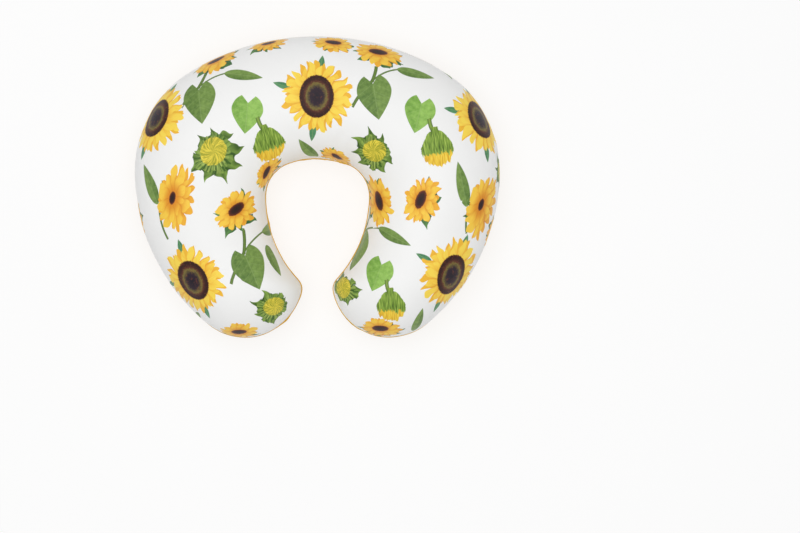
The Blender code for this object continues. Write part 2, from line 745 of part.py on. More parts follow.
def make_care_label(finish):
    """A folded ribbon that hangs inside the cover, at the widest place of the right side."""
    top = -(SEAM_GAP / 2 + PLUSH_THICKNESS + THREAD_THICKNESS + 2 * CONTACT_GAP)
    bottom = top - CARE_LABEL_DROP + LABEL_FOLD_RADIUS
    x = WIDTH / 2 - CARE_LABEL_DEPTH
    path = [(LABEL_FOLD_RADIUS, top)]
    for i in range(5):
        angle = -math.pi * i / 4
        path.append(
            (
                LABEL_FOLD_RADIUS * math.cos(angle),
                bottom + LABEL_FOLD_RADIUS * math.sin(angle),
            )
        )
    path.append((-LABEL_FOLD_RADIUS, top))
    middle = ARCS[1].centre[1]
    rows = []
    for y in (middle - CARE_LABEL_WIDTH / 2, middle + CARE_LABEL_WIDTH / 2):
        rows.append([Vector((x + dx, y, SEAM_HEIGHT + height)) for dx, height in path])
    made = add_object("care_label", lofted("care_label", rows), finish)
    add_thickness(made, RIBBON_THICKNESS, 1)


def make_filling_label(finish):
    """A single ribbon on the inner pillow's seam, at the widest place of the left side."""
    x = -WIDTH / 2 + INNER_INSET - FILLING_LABEL_SETOFF
    middle = ARCS[1].centre[1]
    low = (x, middle - FILLING_LABEL_WIDTH / 2, SEAM_HEIGHT - FILLING_LABEL_DROP)
    high = (x + RIBBON_THICKNESS, middle + FILLING_LABEL_WIDTH / 2, SEAM_HEIGHT - SEAM_GAP)
    add_object("filling_label", box_mesh("filling_label", low, high), finish)


def main():
    for found in list(bpy.data.objects):
        bpy.data.objects.remove(found)
    for collection in (COLLECTION, CUTTERS):
        bpy.context.scene.collection.children.link(collection)
    finishes = {
        "print": material("printed_polyester", (0.93, 0.93, 0.91), 0.7),
        "plush": material("mustard_plush", (0.75, 0.47, 0.05), 0.85),
        "ticking": material("white_ticking", (0.90, 0.90, 0.88), 0.8),
        "fibre": material("polyester_fibre", (0.95, 0.95, 0.94), 0.95),
        "thread": material("sewing_thread", (0.88, 0.86, 0.80), 0.6),
        "tape": material("zip_tape", (0.86, 0.85, 0.82), 0.75),
        "coil": material("nylon_coil", (0.90, 0.89, 0.86), 0.4),
        "metal": material("nickel_plate", (0.72, 0.72, 0.72), 0.3, 1.0),
        "ribbon": material("satin_ribbon", (0.93, 0.93, 0.92), 0.45),
    }
    make_cover(finishes)
    make_inner_pillow(finishes)
    make_zip(finishes)
    make_slider_and_tab(finishes["metal"])
    make_topstitching(finishes["thread"])
    make_care_label(finishes["ribbon"])
    make_filling_label(finishes["ribbon"])


main()
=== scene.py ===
"""The looks of a C-shaped nursing pillow: sewn cloth panels, a printed cotton, a plush and a zip.

Metres, +Z up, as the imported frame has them. The printed side is up, the crown is at +Y, and the
opening between the arms faces -Y. The print's motifs are drawn in their own millimetres.
"""

import math

import bmesh
import bpy
import numpy as np
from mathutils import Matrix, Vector, noise


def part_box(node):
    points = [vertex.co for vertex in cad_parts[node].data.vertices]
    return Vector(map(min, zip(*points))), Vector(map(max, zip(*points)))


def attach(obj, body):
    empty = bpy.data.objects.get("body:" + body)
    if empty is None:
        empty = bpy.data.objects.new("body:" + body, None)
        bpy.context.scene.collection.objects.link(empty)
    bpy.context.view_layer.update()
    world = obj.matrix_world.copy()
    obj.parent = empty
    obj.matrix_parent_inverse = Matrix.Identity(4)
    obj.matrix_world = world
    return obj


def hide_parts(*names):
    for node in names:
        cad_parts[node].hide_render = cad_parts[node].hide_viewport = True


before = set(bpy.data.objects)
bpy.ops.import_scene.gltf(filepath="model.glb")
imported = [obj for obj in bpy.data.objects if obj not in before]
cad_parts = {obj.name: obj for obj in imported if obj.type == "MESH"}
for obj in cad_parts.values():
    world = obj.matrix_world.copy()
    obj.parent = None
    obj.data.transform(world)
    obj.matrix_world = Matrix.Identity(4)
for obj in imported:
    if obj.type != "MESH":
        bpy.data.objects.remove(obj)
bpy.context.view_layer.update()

# ---- The pillow, as the frame has it ------------------------------------------------------------
WIDTH = 0.560
DEPTH = 0.461
SEAM_HEIGHT = 0.070
TOP_HEIGHT = 0.080
BOTTOM_HEIGHT = 0.074
CROWN_RADIUS = 0.380
CROWN_MARGIN = 0.008
TIP_RADIUS = 0.0887
TIP_GAP = 0.048
TIP_RISE = 0.074
TIP_CORNER_RADIUS = 0.019
OPENING_WIDTH = 0.160
CROWN_BREADTH = 0.187
OPENING_TOP_RADIUS = 0.130
OPENING_CORNER_RADIUS = 0.052
ROUND_END_SHARE = 0.58
PRINT_THICKNESS = 0.0012
PLUSH_THICKNESS = 0.0025
TICKING_THICKNESS = 0.0005
CHANNEL_DEPTH = 0.008
FLANGE_LENGTH = 0.005
SEAM_GAP = 0.0006
CONTACT_GAP = 0.0003
LAYER_GAP = 0.0015
FILLING_GAP = 0.0006
INNER_INSET = 0.020
TICKING_FOLD_RADIUS = 0.0015
TICKING_ALLOWANCE = 0.006
CHAIN_LENGTH = 0.321
STOP_LENGTH = 0.003
WINDOW_CLEARANCE = 0.015
WINDOW_CLOSING = 0.006
WINDOW_HALF = 0.0052
TAPE_OVERRUN = 0.008
TAPE_WIDTH = 0.013
TAPE_THICKNESS = 0.0006
CHAIN_SLOT_HALF = 0.0007
COIL_WIDTH = 0.0022
COIL_THICKNESS = 0.0022
CHAIN_END = CHAIN_LENGTH / 2
WINDOW_END = CHAIN_END + STOP_LENGTH + WINDOW_CLEARANCE
TAPE_END = WINDOW_END + TAPE_OVERRUN
FLANGE_END = TAPE_END + 2 * CONTACT_GAP
TAPE_RADIUS = CROWN_RADIUS - CHANNEL_DEPTH - CONTACT_GAP

# ---- How the cloth is made up -------------------------------------------------------------------
FOLD_RADIUS = 0.003  # of the cloth's turn at the seam
ROW_SPACING = 0.0055
COLUMNS = 40
TIP_ROWS = 16
PUCKER_DEPTH = 0.0028
PUCKER_PERIOD = 0.021
PUCKER_REACH = 0.024
PUCKER_START = 0.004
LUMP_HEIGHT = 0.0022
LUMP_SIZE = 0.085
LUMP_START = 0.030
SEAM_WANDER = 0.0009
WANDER_REACH = 0.020
SWELL_LIMIT = 0.0045  # how far the filling may push the cloth out
SEWN_REACH = 0.022  # of the stiff cloth beside the zip
PRINT_ROLL = -0.0006
PLUSH_ROLL = 0.0020  # by which the plush shows past the print along the opening
ROLL_REACH = 0.016
ROLL_START = 0.60  # from the crown's middle along the outline
ROLL_RUN = 0.10
TABLE_LEVEL = 0.0003
TABLE_SOFTNESS = 0.0012
MILLIMETRE = 0.001

# Soft folds in each panel, from point to point in plan, in millimetres.
PRINT_FOLDS = [((92, 26), (132, 52)), ((-95, 30), (-128, 62)), ((30, 60), (38, 96))]
PRINT_FOLD_SIZE = (0.0014, 0.007)  # depth and width
PLUSH_FOLDS = [
    ((170, 16), (114, -13)),
    ((181, 0), (125, -24)),
    ((152, -110), (88, -71)),
    ((131, -112), (94, -87)),
]
PLUSH_FOLD_SIZE = (0.0026, 0.006)

# ---- The inner pillow under the cover -------------------------------------------------------------
TICKING_SLACK = 0.0032
UNDER_TICKING = 0.0022
FILLING_SLACK = 0.0009
FILLING_FOLD = 0.0006
FILLING_MARGIN = 0.0025

# ---- The zip and the labels -----------------------------------------------------------------------
PATH_STEP = 0.002
FINE_STEP = 0.0005
TAPE_RIBS = 14
RIB_DEPTH = 0.00004
COIL_PITCH = 0.0015
STITCH_SETBACK = 0.0032  # from the window's fold
STITCH_LIFT = 0.00012
BEVEL_WIDTH = 0.00025
STOP_BEVEL = 0.00015
RIBBON_THICKNESS = 0.00025
RIBBON_ROWS = 20
RIBBON_CLEARANCE = 0.0002

# ---- The studio -----------------------------------------------------------------------------------
FLOOR_HALF = 6
FLOOR_GLOW = 0.80
WORLD_STRENGTH = 0.40
LAMPS = [  # name, place, size, watts
    ("overhead", (-0.2, 0.15, 2.7), 1.8, 42),
    ("fill", (1.6, -1.2, 2.2), 2.0, 3),
]
LENS = 135
CAMERA_HEIGHT = 4.609 + SEAM_HEIGHT
CAMERA_SHIFT = (0.1034, -0.0994)


# ==== Plan outline ===============================================================================
class Arc:
    """An arc in plan from one angle to another. The pillow lies within its circle, or outside it."""

    def __init__(self, centre, radius, start, end, pillow_within=True):
        self.centre = np.array(centre, float)
        self.radius = radius
        self.start = start
        self.end = end
        self.sign = -1 if pillow_within else 1
        self.length = radius * abs(end - start)

    def at(self, distance):
        """(point, normal into the pillow) at a distance along the arc."""
        angle = self.start + (self.end - self.start) * distance / self.length
        outward = np.array((math.cos(angle), math.sin(angle)))
        return self.centre + self.radius * outward, self.sign * outward


def direction(vector):
    return math.atan2(vector[1], vector[0])


def on_crown(length):
    """A length along the zip's tapes, as the length of the crown's outer arc over the same angle."""
    return length * CROWN_RADIUS / TAPE_RADIUS


def outline_arcs():
    """The arcs of the right half, from the crown's middle round the tip to the opening's middle."""
    quarter = math.pi / 2
    crown_centre = np.array((0, DEPTH / 2 - CROWN_RADIUS))
    lean = (on_crown(FLANGE_END) + CROWN_MARGIN) / CROWN_RADIUS
    shoulder_radius = (WIDTH / 2 - CROWN_RADIUS * math.sin(lean)) / (1 - math.sin(lean))
    reach = CROWN_RADIUS - shoulder_radius
    shoulder_centre = crown_centre + reach * np.array((math.sin(lean), math.cos(lean)))

    top_centre = np.array((0, DEPTH / 2 - CROWN_BREADTH - OPENING_TOP_RADIUS))
    turn_x = OPENING_WIDTH / 2 - OPENING_CORNER_RADIUS
    turn_reach = OPENING_TOP_RADIUS - OPENING_CORNER_RADIUS
    turn = math.asin(turn_x / turn_reach)
    turn_centre = top_centre + turn_reach * np.array((math.sin(turn), math.cos(turn)))

    corner_centre = np.array((TIP_GAP / 2 + TIP_CORNER_RADIUS, TIP_RISE - DEPTH / 2))
    u, v = corner_centre - (OPENING_WIDTH / 2, turn_centre[1])
    inner_radius = (u * u + v * v - TIP_CORNER_RADIUS**2) / (2 * (TIP_CORNER_RADIUS - u))
    inner_centre = np.array((OPENING_WIDTH / 2 - inner_radius, turn_centre[1]))
    inner_start = direction(corner_centre - inner_centre)
    corner_end = direction(inner_centre - corner_centre) % -math.tau

    tip_span = (TIP_RADIUS - TIP_CORNER_RADIUS) ** 2 - (TIP_RADIUS - TIP_RISE) ** 2
    tip_centre = np.array((corner_centre[0] + math.sqrt(tip_span), TIP_RADIUS - DEPTH / 2))
    u, v = tip_centre - (WIDTH / 2, shoulder_centre[1])
    side_radius = (u * u + v * v - TIP_RADIUS**2) / (-2 * (u + TIP_RADIUS))
    side_centre = np.array((WIDTH / 2 - side_radius, shoulder_centre[1]))
    side_end = direction(tip_centre - side_centre)
    corner_start = direction(corner_centre - tip_centre) % -math.tau

    return [
        Arc(crown_centre, CROWN_RADIUS, quarter, quarter - lean),
        Arc(shoulder_centre, shoulder_radius, quarter - lean, 0),
        Arc(side_centre, side_radius, 0, side_end),
        Arc(tip_centre, TIP_RADIUS, side_end, corner_start),
        Arc(corner_centre, TIP_CORNER_RADIUS, corner_start, corner_end),
        Arc(inner_centre, inner_radius, inner_start, 0, False),
        Arc(turn_centre, OPENING_CORNER_RADIUS, 0, quarter - turn, False),
        Arc(top_centre, OPENING_TOP_RADIUS, quarter - turn, quarter, False),
    ]


ARCS = outline_arcs()
CROWN_CENTRE = ARCS[0].centre
OUTLINE_LENGTH = sum(arc.length for arc in ARCS)
ROUND_END_START = ARCS[0].length + ARCS[1].length + ARCS[2].length * ROUND_END_SHARE
OPENING_LENGTH = sum(arc.length for arc in ARCS[5:]) + ARCS[4].length / 2


def outline(distance):
    """(point, normal into the pillow) at a distance from the crown's middle along the outline."""
    for arc in ARCS[:-1]:
        if distance <= arc.length:
            return arc.at(distance)
        distance -= arc.length
    return ARCS[-1].at(min(distance, ARCS[-1].length))


def facing(distance):
    """How far along the outline lies the point across the arm from a point on its outer side."""
    share = distance / ROUND_END_START
    return OUTLINE_LENGTH - OPENING_LENGTH * (0.55 * share + 0.45 * share**5)


# ==== The panels' common grid ====================================================================
def smooth_step(value):
    value = np.clip(value, 0, 1)
    return value * value * (3 - 2 * value)


def arm_distances():
    """Distances along the outer side, close enough together to follow the zip's window."""
    breaks = [0, on_crown(WINDOW_END), on_crown(WINDOW_END + WINDOW_CLOSING), on_crown(FLANGE_END)]
    breaks.append(breaks[-1] + CHANNEL_DEPTH + FLANGE_LENGTH)
    breaks.append(ROUND_END_START)
    found = [0.0]
    for start, end in zip(breaks, breaks[1:]):
        steps = math.ceil((end - start) / ROW_SPACING)
        found += [start + (end - start) * i / steps for i in range(1, steps + 1)]
    return found


class Grid:
    """Rows across the arms from the left tip to the right, columns from the opening outwards.

    Each cell knows the ridge point that it belongs to, its edge point, the edge's normal into the
    pillow, its share of the way from the ridge to the edge, how far it is on the opening's side (0
    to 1) and its edge point's distance from the crown's middle along the outline.
    """

    def __init__(self):
        across = [math.sin(math.pi / 2 * (2 * j / COLUMNS - 1)) for j in range(COLUMNS + 1)]
        half = []
        for distance in arm_distances():
            outer, inner = outline(distance), outline(facing(distance))
            ridge = (outer[0] + inner[0]) / 2
            row = []
            for s in across:
                edge, at, opening = (outer, distance, 0) if s >= 0 else (inner, facing(distance), 1)
                row.append([*ridge, *edge[0], *edge[1], abs(s), opening, at])
            half.append(row)
        first, last = ROUND_END_START, facing(ROUND_END_START)
        for i in range(1, TIP_ROWS + 1):
            deep = math.sin(math.pi / 2 * i / TIP_ROWS)
            row = []
            for s in across:
                u = s * math.sqrt(1 - deep**2 / 2)
                v = deep * math.sqrt(1 - s**2 / 2)
                way = math.atan2(v, u) / math.pi
                at = first + (last - first) * way
                edge = outline(at)
                row.append([*ridge, *edge[0], *edge[1], math.hypot(u, v), way, at])
            half.append(row)
        right = np.array(half)
        left = right[:0:-1] * (-1, 1, -1, 1, -1, 1, 1, 1, -1)
        cells = np.concatenate((left, right))
        self.shape = cells.shape[:2]
        self.ridge = cells[..., 0:2]
        self.edge = cells[..., 2:4]
        self.inward = cells[..., 4:6]
        self.share = np.clip(cells[..., 6], 0, 1)
        self.opening = cells[..., 7]
        self.distance = cells[..., 8]
        past_window = (abs(self.distance) - on_crown(WINDOW_END)) / on_crown(WINDOW_CLOSING)
        self.window = 1 - smooth_step(past_window)
        past_flange = (abs(self.distance) - on_crown(FLANGE_END)) / (CHANNEL_DEPTH + FLANGE_LENGTH)
        self.turned = 1 - np.clip(past_flange, 0, 1)
        self.half_gap = SEAM_GAP / 2 + self.window * (WINDOW_HALF - SEAM_GAP / 2)
        rows, columns = self.shape
        index = np.arange(rows * columns).reshape(rows, columns)
        self.ring = np.concatenate(
            (index[:-1, -1], index[-1, :0:-1], index[:0:-1, 0], index[0, :-1])
        )
        corners = (index[:-1, :-1], index[1:, :-1], index[1:, 1:], index[:-1, 1:])
        self.faces = np.stack(corners, -1).reshape(-1, 4)

    def on_ring(self, values):
        """A cell value at each point round the edge."""
        return values.reshape(-1, *values.shape[2:])[self.ring]


GRID = Grid()


def noise_at(points, size, seed):
    """Smooth noise from about -1 to 1 at an array of plan points or of distances."""
    flat = np.asarray(points, float)
    if flat.ndim == 2:
        flat = flat[..., None]
    shape = flat.shape[:-1]
    flat = flat.reshape(-1, flat.shape[-1]) / size
    found = [noise.noise(Vector((*p, seed) if len(p) == 2 else (p[0], seed, 0.5))) for p in flat]
    return np.array(found).reshape(shape)


def dome(side, rise, inset, half_gap, fold):
    """A panel's points before it is filled: an ellipse from the seam over to the ridge."""
    base = half_gap + fold
    start = GRID.edge + inset * GRID.inward
    plan = GRID.ridge + GRID.share[..., None] * (start - GRID.ridge)
    up = np.sqrt(1 - GRID.share**2)
    height = SEAM_HEIGHT + side * (base + (rise - base) * up)
    return np.concatenate((plan, height[..., None]), -1)


def outward_normals(side):
    """The dome's own normals, which the puckers and lumps follow."""
    reach = GRID.edge - GRID.ridge
    length = np.linalg.norm(reach, axis=-1, keepdims=True)
    flat = reach / length * (GRID.share[..., None] / length)
    up = side * np.sqrt(1 - GRID.share**2) / TOP_HEIGHT
    normal = np.concatenate((flat, up[..., None]), -1)
    return normal / np.linalg.norm(normal, axis=-1, keepdims=True)


def from_seam():
    """How far each cell is from the seam over the cloth, in metres."""
    length = np.linalg.norm(GRID.edge - GRID.ridge, axis=-1)
    return (math.pi / 2 - np.arcsin(GRID.share)) * (length + TOP_HEIGHT) / 2


def puckered(points, side, seed):
    """Adds the small gathers that run in from the seam, and the filling's broad lumps."""
    away = from_seam()
    fading = np.exp(-away / PUCKER_REACH) * (1 - np.exp(-away / PUCKER_START))
    plain = 1 - GRID.turned * (1 - GRID.opening)
    gathers = noise_at(GRID.distance, PUCKER_PERIOD, seed)
    finer_gathers = noise_at(GRID.distance, PUCKER_PERIOD / 2.6, seed + 3)
    tight = 0.45 + 0.9 * GRID.opening
    shift = PUCKER_DEPTH * fading * tight * (gathers - abs(finer_gathers)) * plain
    broad = noise_at(points[..., :2], LUMP_SIZE, seed + 7)
    shift = shift + LUMP_HEIGHT * broad * (1 - np.exp(-away / LUMP_START))
    return points + shift[..., None] * outward_normals(side)


def creased(points, start, end, depth, width):
    """Presses a soft fold into a panel between two plan points given in millimetres."""
    start, end = np.array(start) * MILLIMETRE, np.array(end) * MILLIMETRE
    run = end - start
    length = np.linalg.norm(run)
    relative = points[..., :2] - start
    along = relative @ run / length**2
    off = (relative[..., 0] * run[1] - relative[..., 1] * run[0]) / length
    bend = 0.12 * length * np.sin(np.clip(along, 0, 1) * math.pi)
    ends = smooth_step(along / 0.25) * smooth_step((1 - along) / 0.3)
    across = (off - bend) / width
    groove = np.exp(-(across**2)) - 0.45 * np.exp(-((across / 2.2) ** 2))
    pressed = points.copy()
    pressed[..., 2] += np.sign(SEAM_HEIGHT - points[..., 2]) * depth * ends * groove
    return pressed


# ==== Filling the cover ==========================================================================
def new_mesh(name, points, faces):
    made = bpy.data.meshes.new(name)
    made.from_pydata([tuple(p) for p in points], [], [tuple(int(i) for i in f) for f in faces])
    made.update()
    return made


def linked(name, mesh):
    made = bpy.data.objects.new(name, mesh)
    bpy.context.scene.collection.objects.link(made)
    return made


def evaluated_mesh(made):
    graph = bpy.context.evaluated_depsgraph_get()
    return bpy.data.meshes.new_from_object(made.evaluated_get(graph), depsgraph=graph)


def faced_outwards(mesh):
    bm = bmesh.new()
    bm.from_mesh(mesh)
    bmesh.ops.recalc_face_normals(bm, faces=bm.faces)
    bm.to_mesh(mesh)
    bm.free()


def bag_mesh(name, points):
    """Two panels, whose points follow each other, joined round their edge into a closed skin."""
    count = GRID.shape[0] * GRID.shape[1]
    ring, following = GRID.ring, np.roll(GRID.ring, -1)
    strip = np.stack((ring, following, following + count, ring + count), -1)
    faces = np.concatenate((GRID.faces, GRID.faces[:, ::-1] + count, strip))
    mesh = new_mesh(name, points, faces)
    faced_outwards(mesh)
    return mesh


def filled(front, back):
    """Both panels as the filling's pressure leaves them, with the seam held where it is sewn."""
    count = front.shape[0] * front.shape[1]
    points = np.concatenate((front.reshape(-1, 3), back.reshape(-1, 3)))
    bag = linked("filled_cover", bag_mesh("filled_cover", points))
    held = bag.vertex_groups.new(name="sewn")
    zone = GRID.turned * (1 - GRID.opening) * np.exp(-((from_seam() / SEWN_REACH) ** 2))
    weights = np.tile(zone.reshape(-1), 2)
    weights[GRID.ring] = 1
    weights[GRID.ring + count] = 1
    for index, weight in enumerate(weights):
        held.add([index], float(weight), "REPLACE")
    cloth = bag.modifiers.new("Cloth", "CLOTH")
    settings = cloth.settings
    settings.quality = 6
    settings.mass = 0.3
    settings.tension_stiffness = 18
    settings.compression_stiffness = 18
    settings.bending_stiffness = 0.6
    settings.use_pressure = True
    settings.uniform_pressure_force = 4
    settings.vertex_group_mass = "sewn"
    settings.effector_weights.gravity = 0
    cloth.collision_settings.use_collision = False
    for step in range(1, 21):
        bpy.context.scene.frame_set(step)
    settled = evaluated_mesh(bag)
    found = np.empty(len(settled.vertices) * 3)
    settled.vertices.foreach_get("co", found)
    bpy.data.objects.remove(bag)
    bpy.context.scene.frame_set(1)
    moved = found.reshape(-1, 3) - points
    length = np.linalg.norm(moved, axis=1, keepdims=True)
    moved *= SWELL_LIMIT * np.tanh(length / SWELL_LIMIT) / np.maximum(length, 1e-9)
    points = points + moved
    return points[:count].reshape(front.shape), points[count:].reshape(back.shape)


def wandered(points, seed):
    """Lets the sewn edge wander a little, and the cloth beside it with it."""
    fading = np.exp(-from_seam() / WANDER_REACH) * (1 - GRID.turned * (1 - GRID.opening))
    drift = noise_at(GRID.distance, 0.045, seed)
    shift = np.zeros_like(points)
    shift[..., :2] = GRID.inward * (SEAM_WANDER * drift * fading)[..., None]
    shift[..., 2] = 1.4 * SEAM_WANDER * noise_at(GRID.distance, 0.06, seed + 5) * fading
    return points + shift


def rolled(points, amount):
    """Pushes the cloth out beside the seam, along the opening and under the arms' ends."""
    low = smooth_step((abs(GRID.distance) - ROLL_START) / ROLL_RUN)
    away = from_seam()
    shift = amount * low * np.exp(-((away / ROLL_REACH) ** 2)) * (1 - 0.5 * np.exp(-away / MILLIMETRE))
    moved = points.copy()
    moved[..., :2] -= GRID.inward * shift[..., None]
    return moved


# ==== Panels as sewn sheets ======================================================================
def cloth_places():
    """Each cell's place on the flat cloth: in plan at the ridge, spreading as the cloth turns down."""
    reach = GRID.edge - GRID.ridge
    length = np.linalg.norm(reach, axis=-1)
    steps = 16
    bend = np.arcsin(GRID.share)[..., None] * (np.arange(steps) + 0.5) / steps
    slope = np.sqrt((length[..., None] * np.cos(bend)) ** 2 + (TOP_HEIGHT * np.sin(bend)) ** 2)
    over = slope.mean(-1) * np.arcsin(GRID.share)
    flat = GRID.share * length
    spread = flat + (1 - 0.4 * GRID.opening) * (over - flat)
    return GRID.ridge + reach / length[..., None] * spread[..., None]


def ring_loops(side, fold, allowance=None):
    """Offsets from the edge's points, loop by loop: round the fold and into the seam allowance.

    Without an allowance the cloth lines the zip's channel, and its flange turns beside the zip.
    """
    inward = GRID.on_ring(GRID.inward)
    flat = np.zeros(len(inward))
    profile = []
    for degrees in (60, 30, 0):
        angle = math.radians(degrees)
        profile.append((flat + fold * (1 - math.sin(angle)), flat - fold * math.cos(angle)))
    if allowance is None:
        turn = GRID.on_ring(GRID.turned * (1 - GRID.opening)) * math.pi / 2
        profile.append((flat + CHANNEL_DEPTH, flat - fold))
        out = CHANNEL_DEPTH + FLANGE_LENGTH * np.cos(turn)
        profile.append((out, -fold + FLANGE_LENGTH * np.sin(turn)))
    else:
        profile.append((flat + allowance, flat - fold))
    return [np.column_stack((inward * depth[:, None], side * height)) for depth, height in profile]


def sewn_sheet(name, points, side, loops):
    """One sheet from its ridge over the seam's fold to the end of its allowance."""
    cloth = cloth_places()
    count = GRID.shape[0] * GRID.shape[1]
    edge = GRID.on_ring(points)
    edge_cloth = GRID.on_ring(cloth)
    inward = GRID.on_ring(GRID.inward)
    all_points = [points.reshape(-1, 3)]
    all_cloth = [cloth.reshape(-1, 2)]
    faces = [GRID.faces if side < 0 else GRID.faces[:, ::-1]]
    before = GRID.ring
    laid = np.zeros(len(edge))
    previous = np.zeros_like(edge)
    for number, loop in enumerate(loops):
        here = count + number * len(GRID.ring) + np.arange(len(GRID.ring))
        laid = laid + np.linalg.norm(loop - previous, axis=1)
        all_points.append(edge + loop)
        all_cloth.append(edge_cloth - inward * laid[:, None])
        strip = np.stack((before, np.roll(before, -1), np.roll(here, -1), here), -1)
        faces.append(strip if side > 0 else strip[:, ::-1])
        before = here
        previous = loop
    mesh = new_mesh(name, np.concatenate(all_points), np.concatenate(faces))
    flat = np.concatenate(all_cloth)
    attribute = mesh.attributes.new("cloth", "FLOAT_VECTOR", "POINT")
    attribute.data.foreach_set("vector", np.column_stack((flat, 0 * flat[:, :1])).ravel())
    faced_outwards(mesh)
    on_ridge = mesh.polygons[len(GRID.faces) // 2 + COLUMNS // 2]
    if on_ridge.normal.z * side < 0:
        mesh.flip_normals()
    return mesh


def finer(name, mesh):
    """The same sheet after one smooth subdivision."""
    rough = linked(name, mesh)
    subdivision = rough.modifiers.new("Subdivision", "SUBSURF")
    subdivision.levels = 1
    subdivision.render_levels = 1
    made = evaluated_mesh(rough)
    bpy.data.objects.remove(rough)
    made.name = name
    made.shade_smooth()
    return made


def thickened(made, thickness, offset=-1):
    solidify = made.modifiers.new("Solidify", "SOLIDIFY")
    solidify.thickness = thickness
    solidify.offset = offset
    return made


def strip_mesh(name, rows, finish):
    """A smooth sheet through rows of points."""
    across = len(rows[0])
    faces = []
    for j in range(len(rows) - 1):
        for i in range(across - 1):
            a = j * across + i
            faces.append((a, a + 1, a + across + 1, a + across))
    mesh = new_mesh(name, [p for row in rows for p in row], faces)
    mesh.materials.append(finish)
    mesh.shade_smooth()
    return mesh


def stands_in(piece, body, node):
    """Puts a piece on a body in its node's place."""
    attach(piece, body)
    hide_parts(node)


# ==== Materials ==================================================================================
def paint(code):
    """A linear colour from a hexadecimal one as seen on screen."""
    values = [int(code[i : i + 2], 16) / 255 for i in (0, 2, 4)]
    linear = [v / 12.92 if v <= 0.04045 else ((v + 0.055) / 1.055) ** 2.4 for v in values]
    return (*linear, 1)


def place_node(tree, kind, settings, inputs):
    """Adds a node: its settings first, then the values or links of its sockets."""
    node = tree.nodes.new(kind)
    for name, value in settings.items():
        if name == "stops":
            ramp = node.color_ramp
            while len(ramp.elements) < len(value):
                ramp.elements.new(0.5)
            for element, (position, colour) in zip(ramp.elements, value):
                element.position = position
                element.color = paint(colour)
        else:
            setattr(node, name, value)
    for key, value in inputs.items():
        if isinstance(value, bpy.types.NodeSocket):
            tree.links.new(value, node.inputs[key])
        else:
            node.inputs[key].default_value = value
    return node.outputs


class Wire:
    """A value that varies over the surface. Arithmetic on it adds Math nodes."""

    def __init__(self, shade, socket):
        self.shade = shade
        self.socket = socket

    def __add__(self, other):
        return self.shade.math("ADD", self, other)

    __radd__ = __add__

    def __sub__(self, other):
        return self.shade.math("SUBTRACT", self, other)

    def __rsub__(self, other):
        return self.shade.math("SUBTRACT", other, self)

    def __mul__(self, other):
        return self.shade.math("MULTIPLY", self, other)

    __rmul__ = __mul__

    def __truediv__(self, other):
        return self.shade.math("DIVIDE", self, other)

    def __pow__(self, other):
        return self.shade.math("POWER", self, other)

    def __abs__(self):
        return self.shade.math("ABSOLUTE", self)


class Shade:
    """One material, whose nodes are added by its methods."""

    def __init__(self, name):
        self.material = bpy.data.materials.new(name)
        self.material.use_nodes = True
        self.tree = self.material.node_tree
        self.tree.nodes.clear()

    def add(self, kind, settings, inputs, output=0):
        given = {key: getattr(value, "socket", value) for key, value in inputs.items()}
        outputs = place_node(self.tree, kind, settings, given)
        return Wire(self, outputs[output]) if len(outputs) else None

    def math(self, operation, *values):
        return self.add("ShaderNodeMath", {"operation": operation}, dict(enumerate(values)))

    def clamped(self, value):
        return self.add("ShaderNodeClamp", {}, {0: value})

    def mixed(self, first, second, factor):
        """A colour between two, by a factor. A plain colour is given by its code."""
        first, second = (paint(c) if isinstance(c, str) else c for c in (first, second))
        settings = {"data_type": "RGBA"}
        return self.add("ShaderNodeMix", settings, {0: factor, 6: first, 7: second}, 2)

    def joined(self, x, y, z=0.0):
        return self.add("ShaderNodeCombineXYZ", {}, {0: x, 1: y, 2: z})

    def parts(self, vector):
        inputs = {0: vector}
        return [self.add("ShaderNodeSeparateXYZ", {}, inputs, i) for i in range(3)]

    def attribute(self, name):
        settings = {"attribute_name": name, "attribute_type": "GEOMETRY"}
        return self.add("ShaderNodeAttribute", settings, {}, 1)

    def object_place(self):
        return self.add("ShaderNodeTexCoord", {}, {}, 3)

    def noise(self, vector, scale, detail=2.0, rough=0.5, distortion=0.0):
        """Smooth noise from 0 to 1."""
        inputs = {"Vector": vector, "Scale": scale, "Detail": detail, "Roughness": rough}
        inputs["Distortion"] = distortion
        return self.add("ShaderNodeTexNoise", {}, inputs)

    def chance(self, value):
        """One random number from 0 to 1 for each tenth, rounded so that a cell has just one."""
        tenths = self.math("ROUND", value * 10)
        return self.add("ShaderNodeTexWhiteNoise", {"noise_dimensions": "1D"}, {"W": tenths})

    def ramp(self, value, stops):
        return self.add("ShaderNodeValToRGB", {"stops": stops}, {0: value})

    def edge(self, inside, softness):
        """1 where a distance is inside (above 0), 0 where it is outside."""
        return self.clamped(inside / softness + 0.5)

    def least(self, *values):
        found = values[0]
        for value in values[1:]:
            found = self.math("MINIMUM", found, value)
        return found

    def finish(self, colour, roughness, height=None, lift=0.001, strength=1.0, **constants):
        """Ends the material with its shader. Constants are set on the shader's own sockets."""
        inputs = {"Base Color": colour, "Roughness": roughness}
        for name, value in constants.items():
            inputs[name.replace("_", " ").title().replace("Ior", "IOR")] = value
        if height is not None:
            bump = {"Strength": strength, "Distance": lift, "Height": height}
            inputs["Normal"] = self.add("ShaderNodeBump", {}, bump)
        shader = self.add("ShaderNodeBsdfPrincipled", {}, inputs)
        self.add("ShaderNodeOutputMaterial", {}, {"Surface": shader})
        return self.material


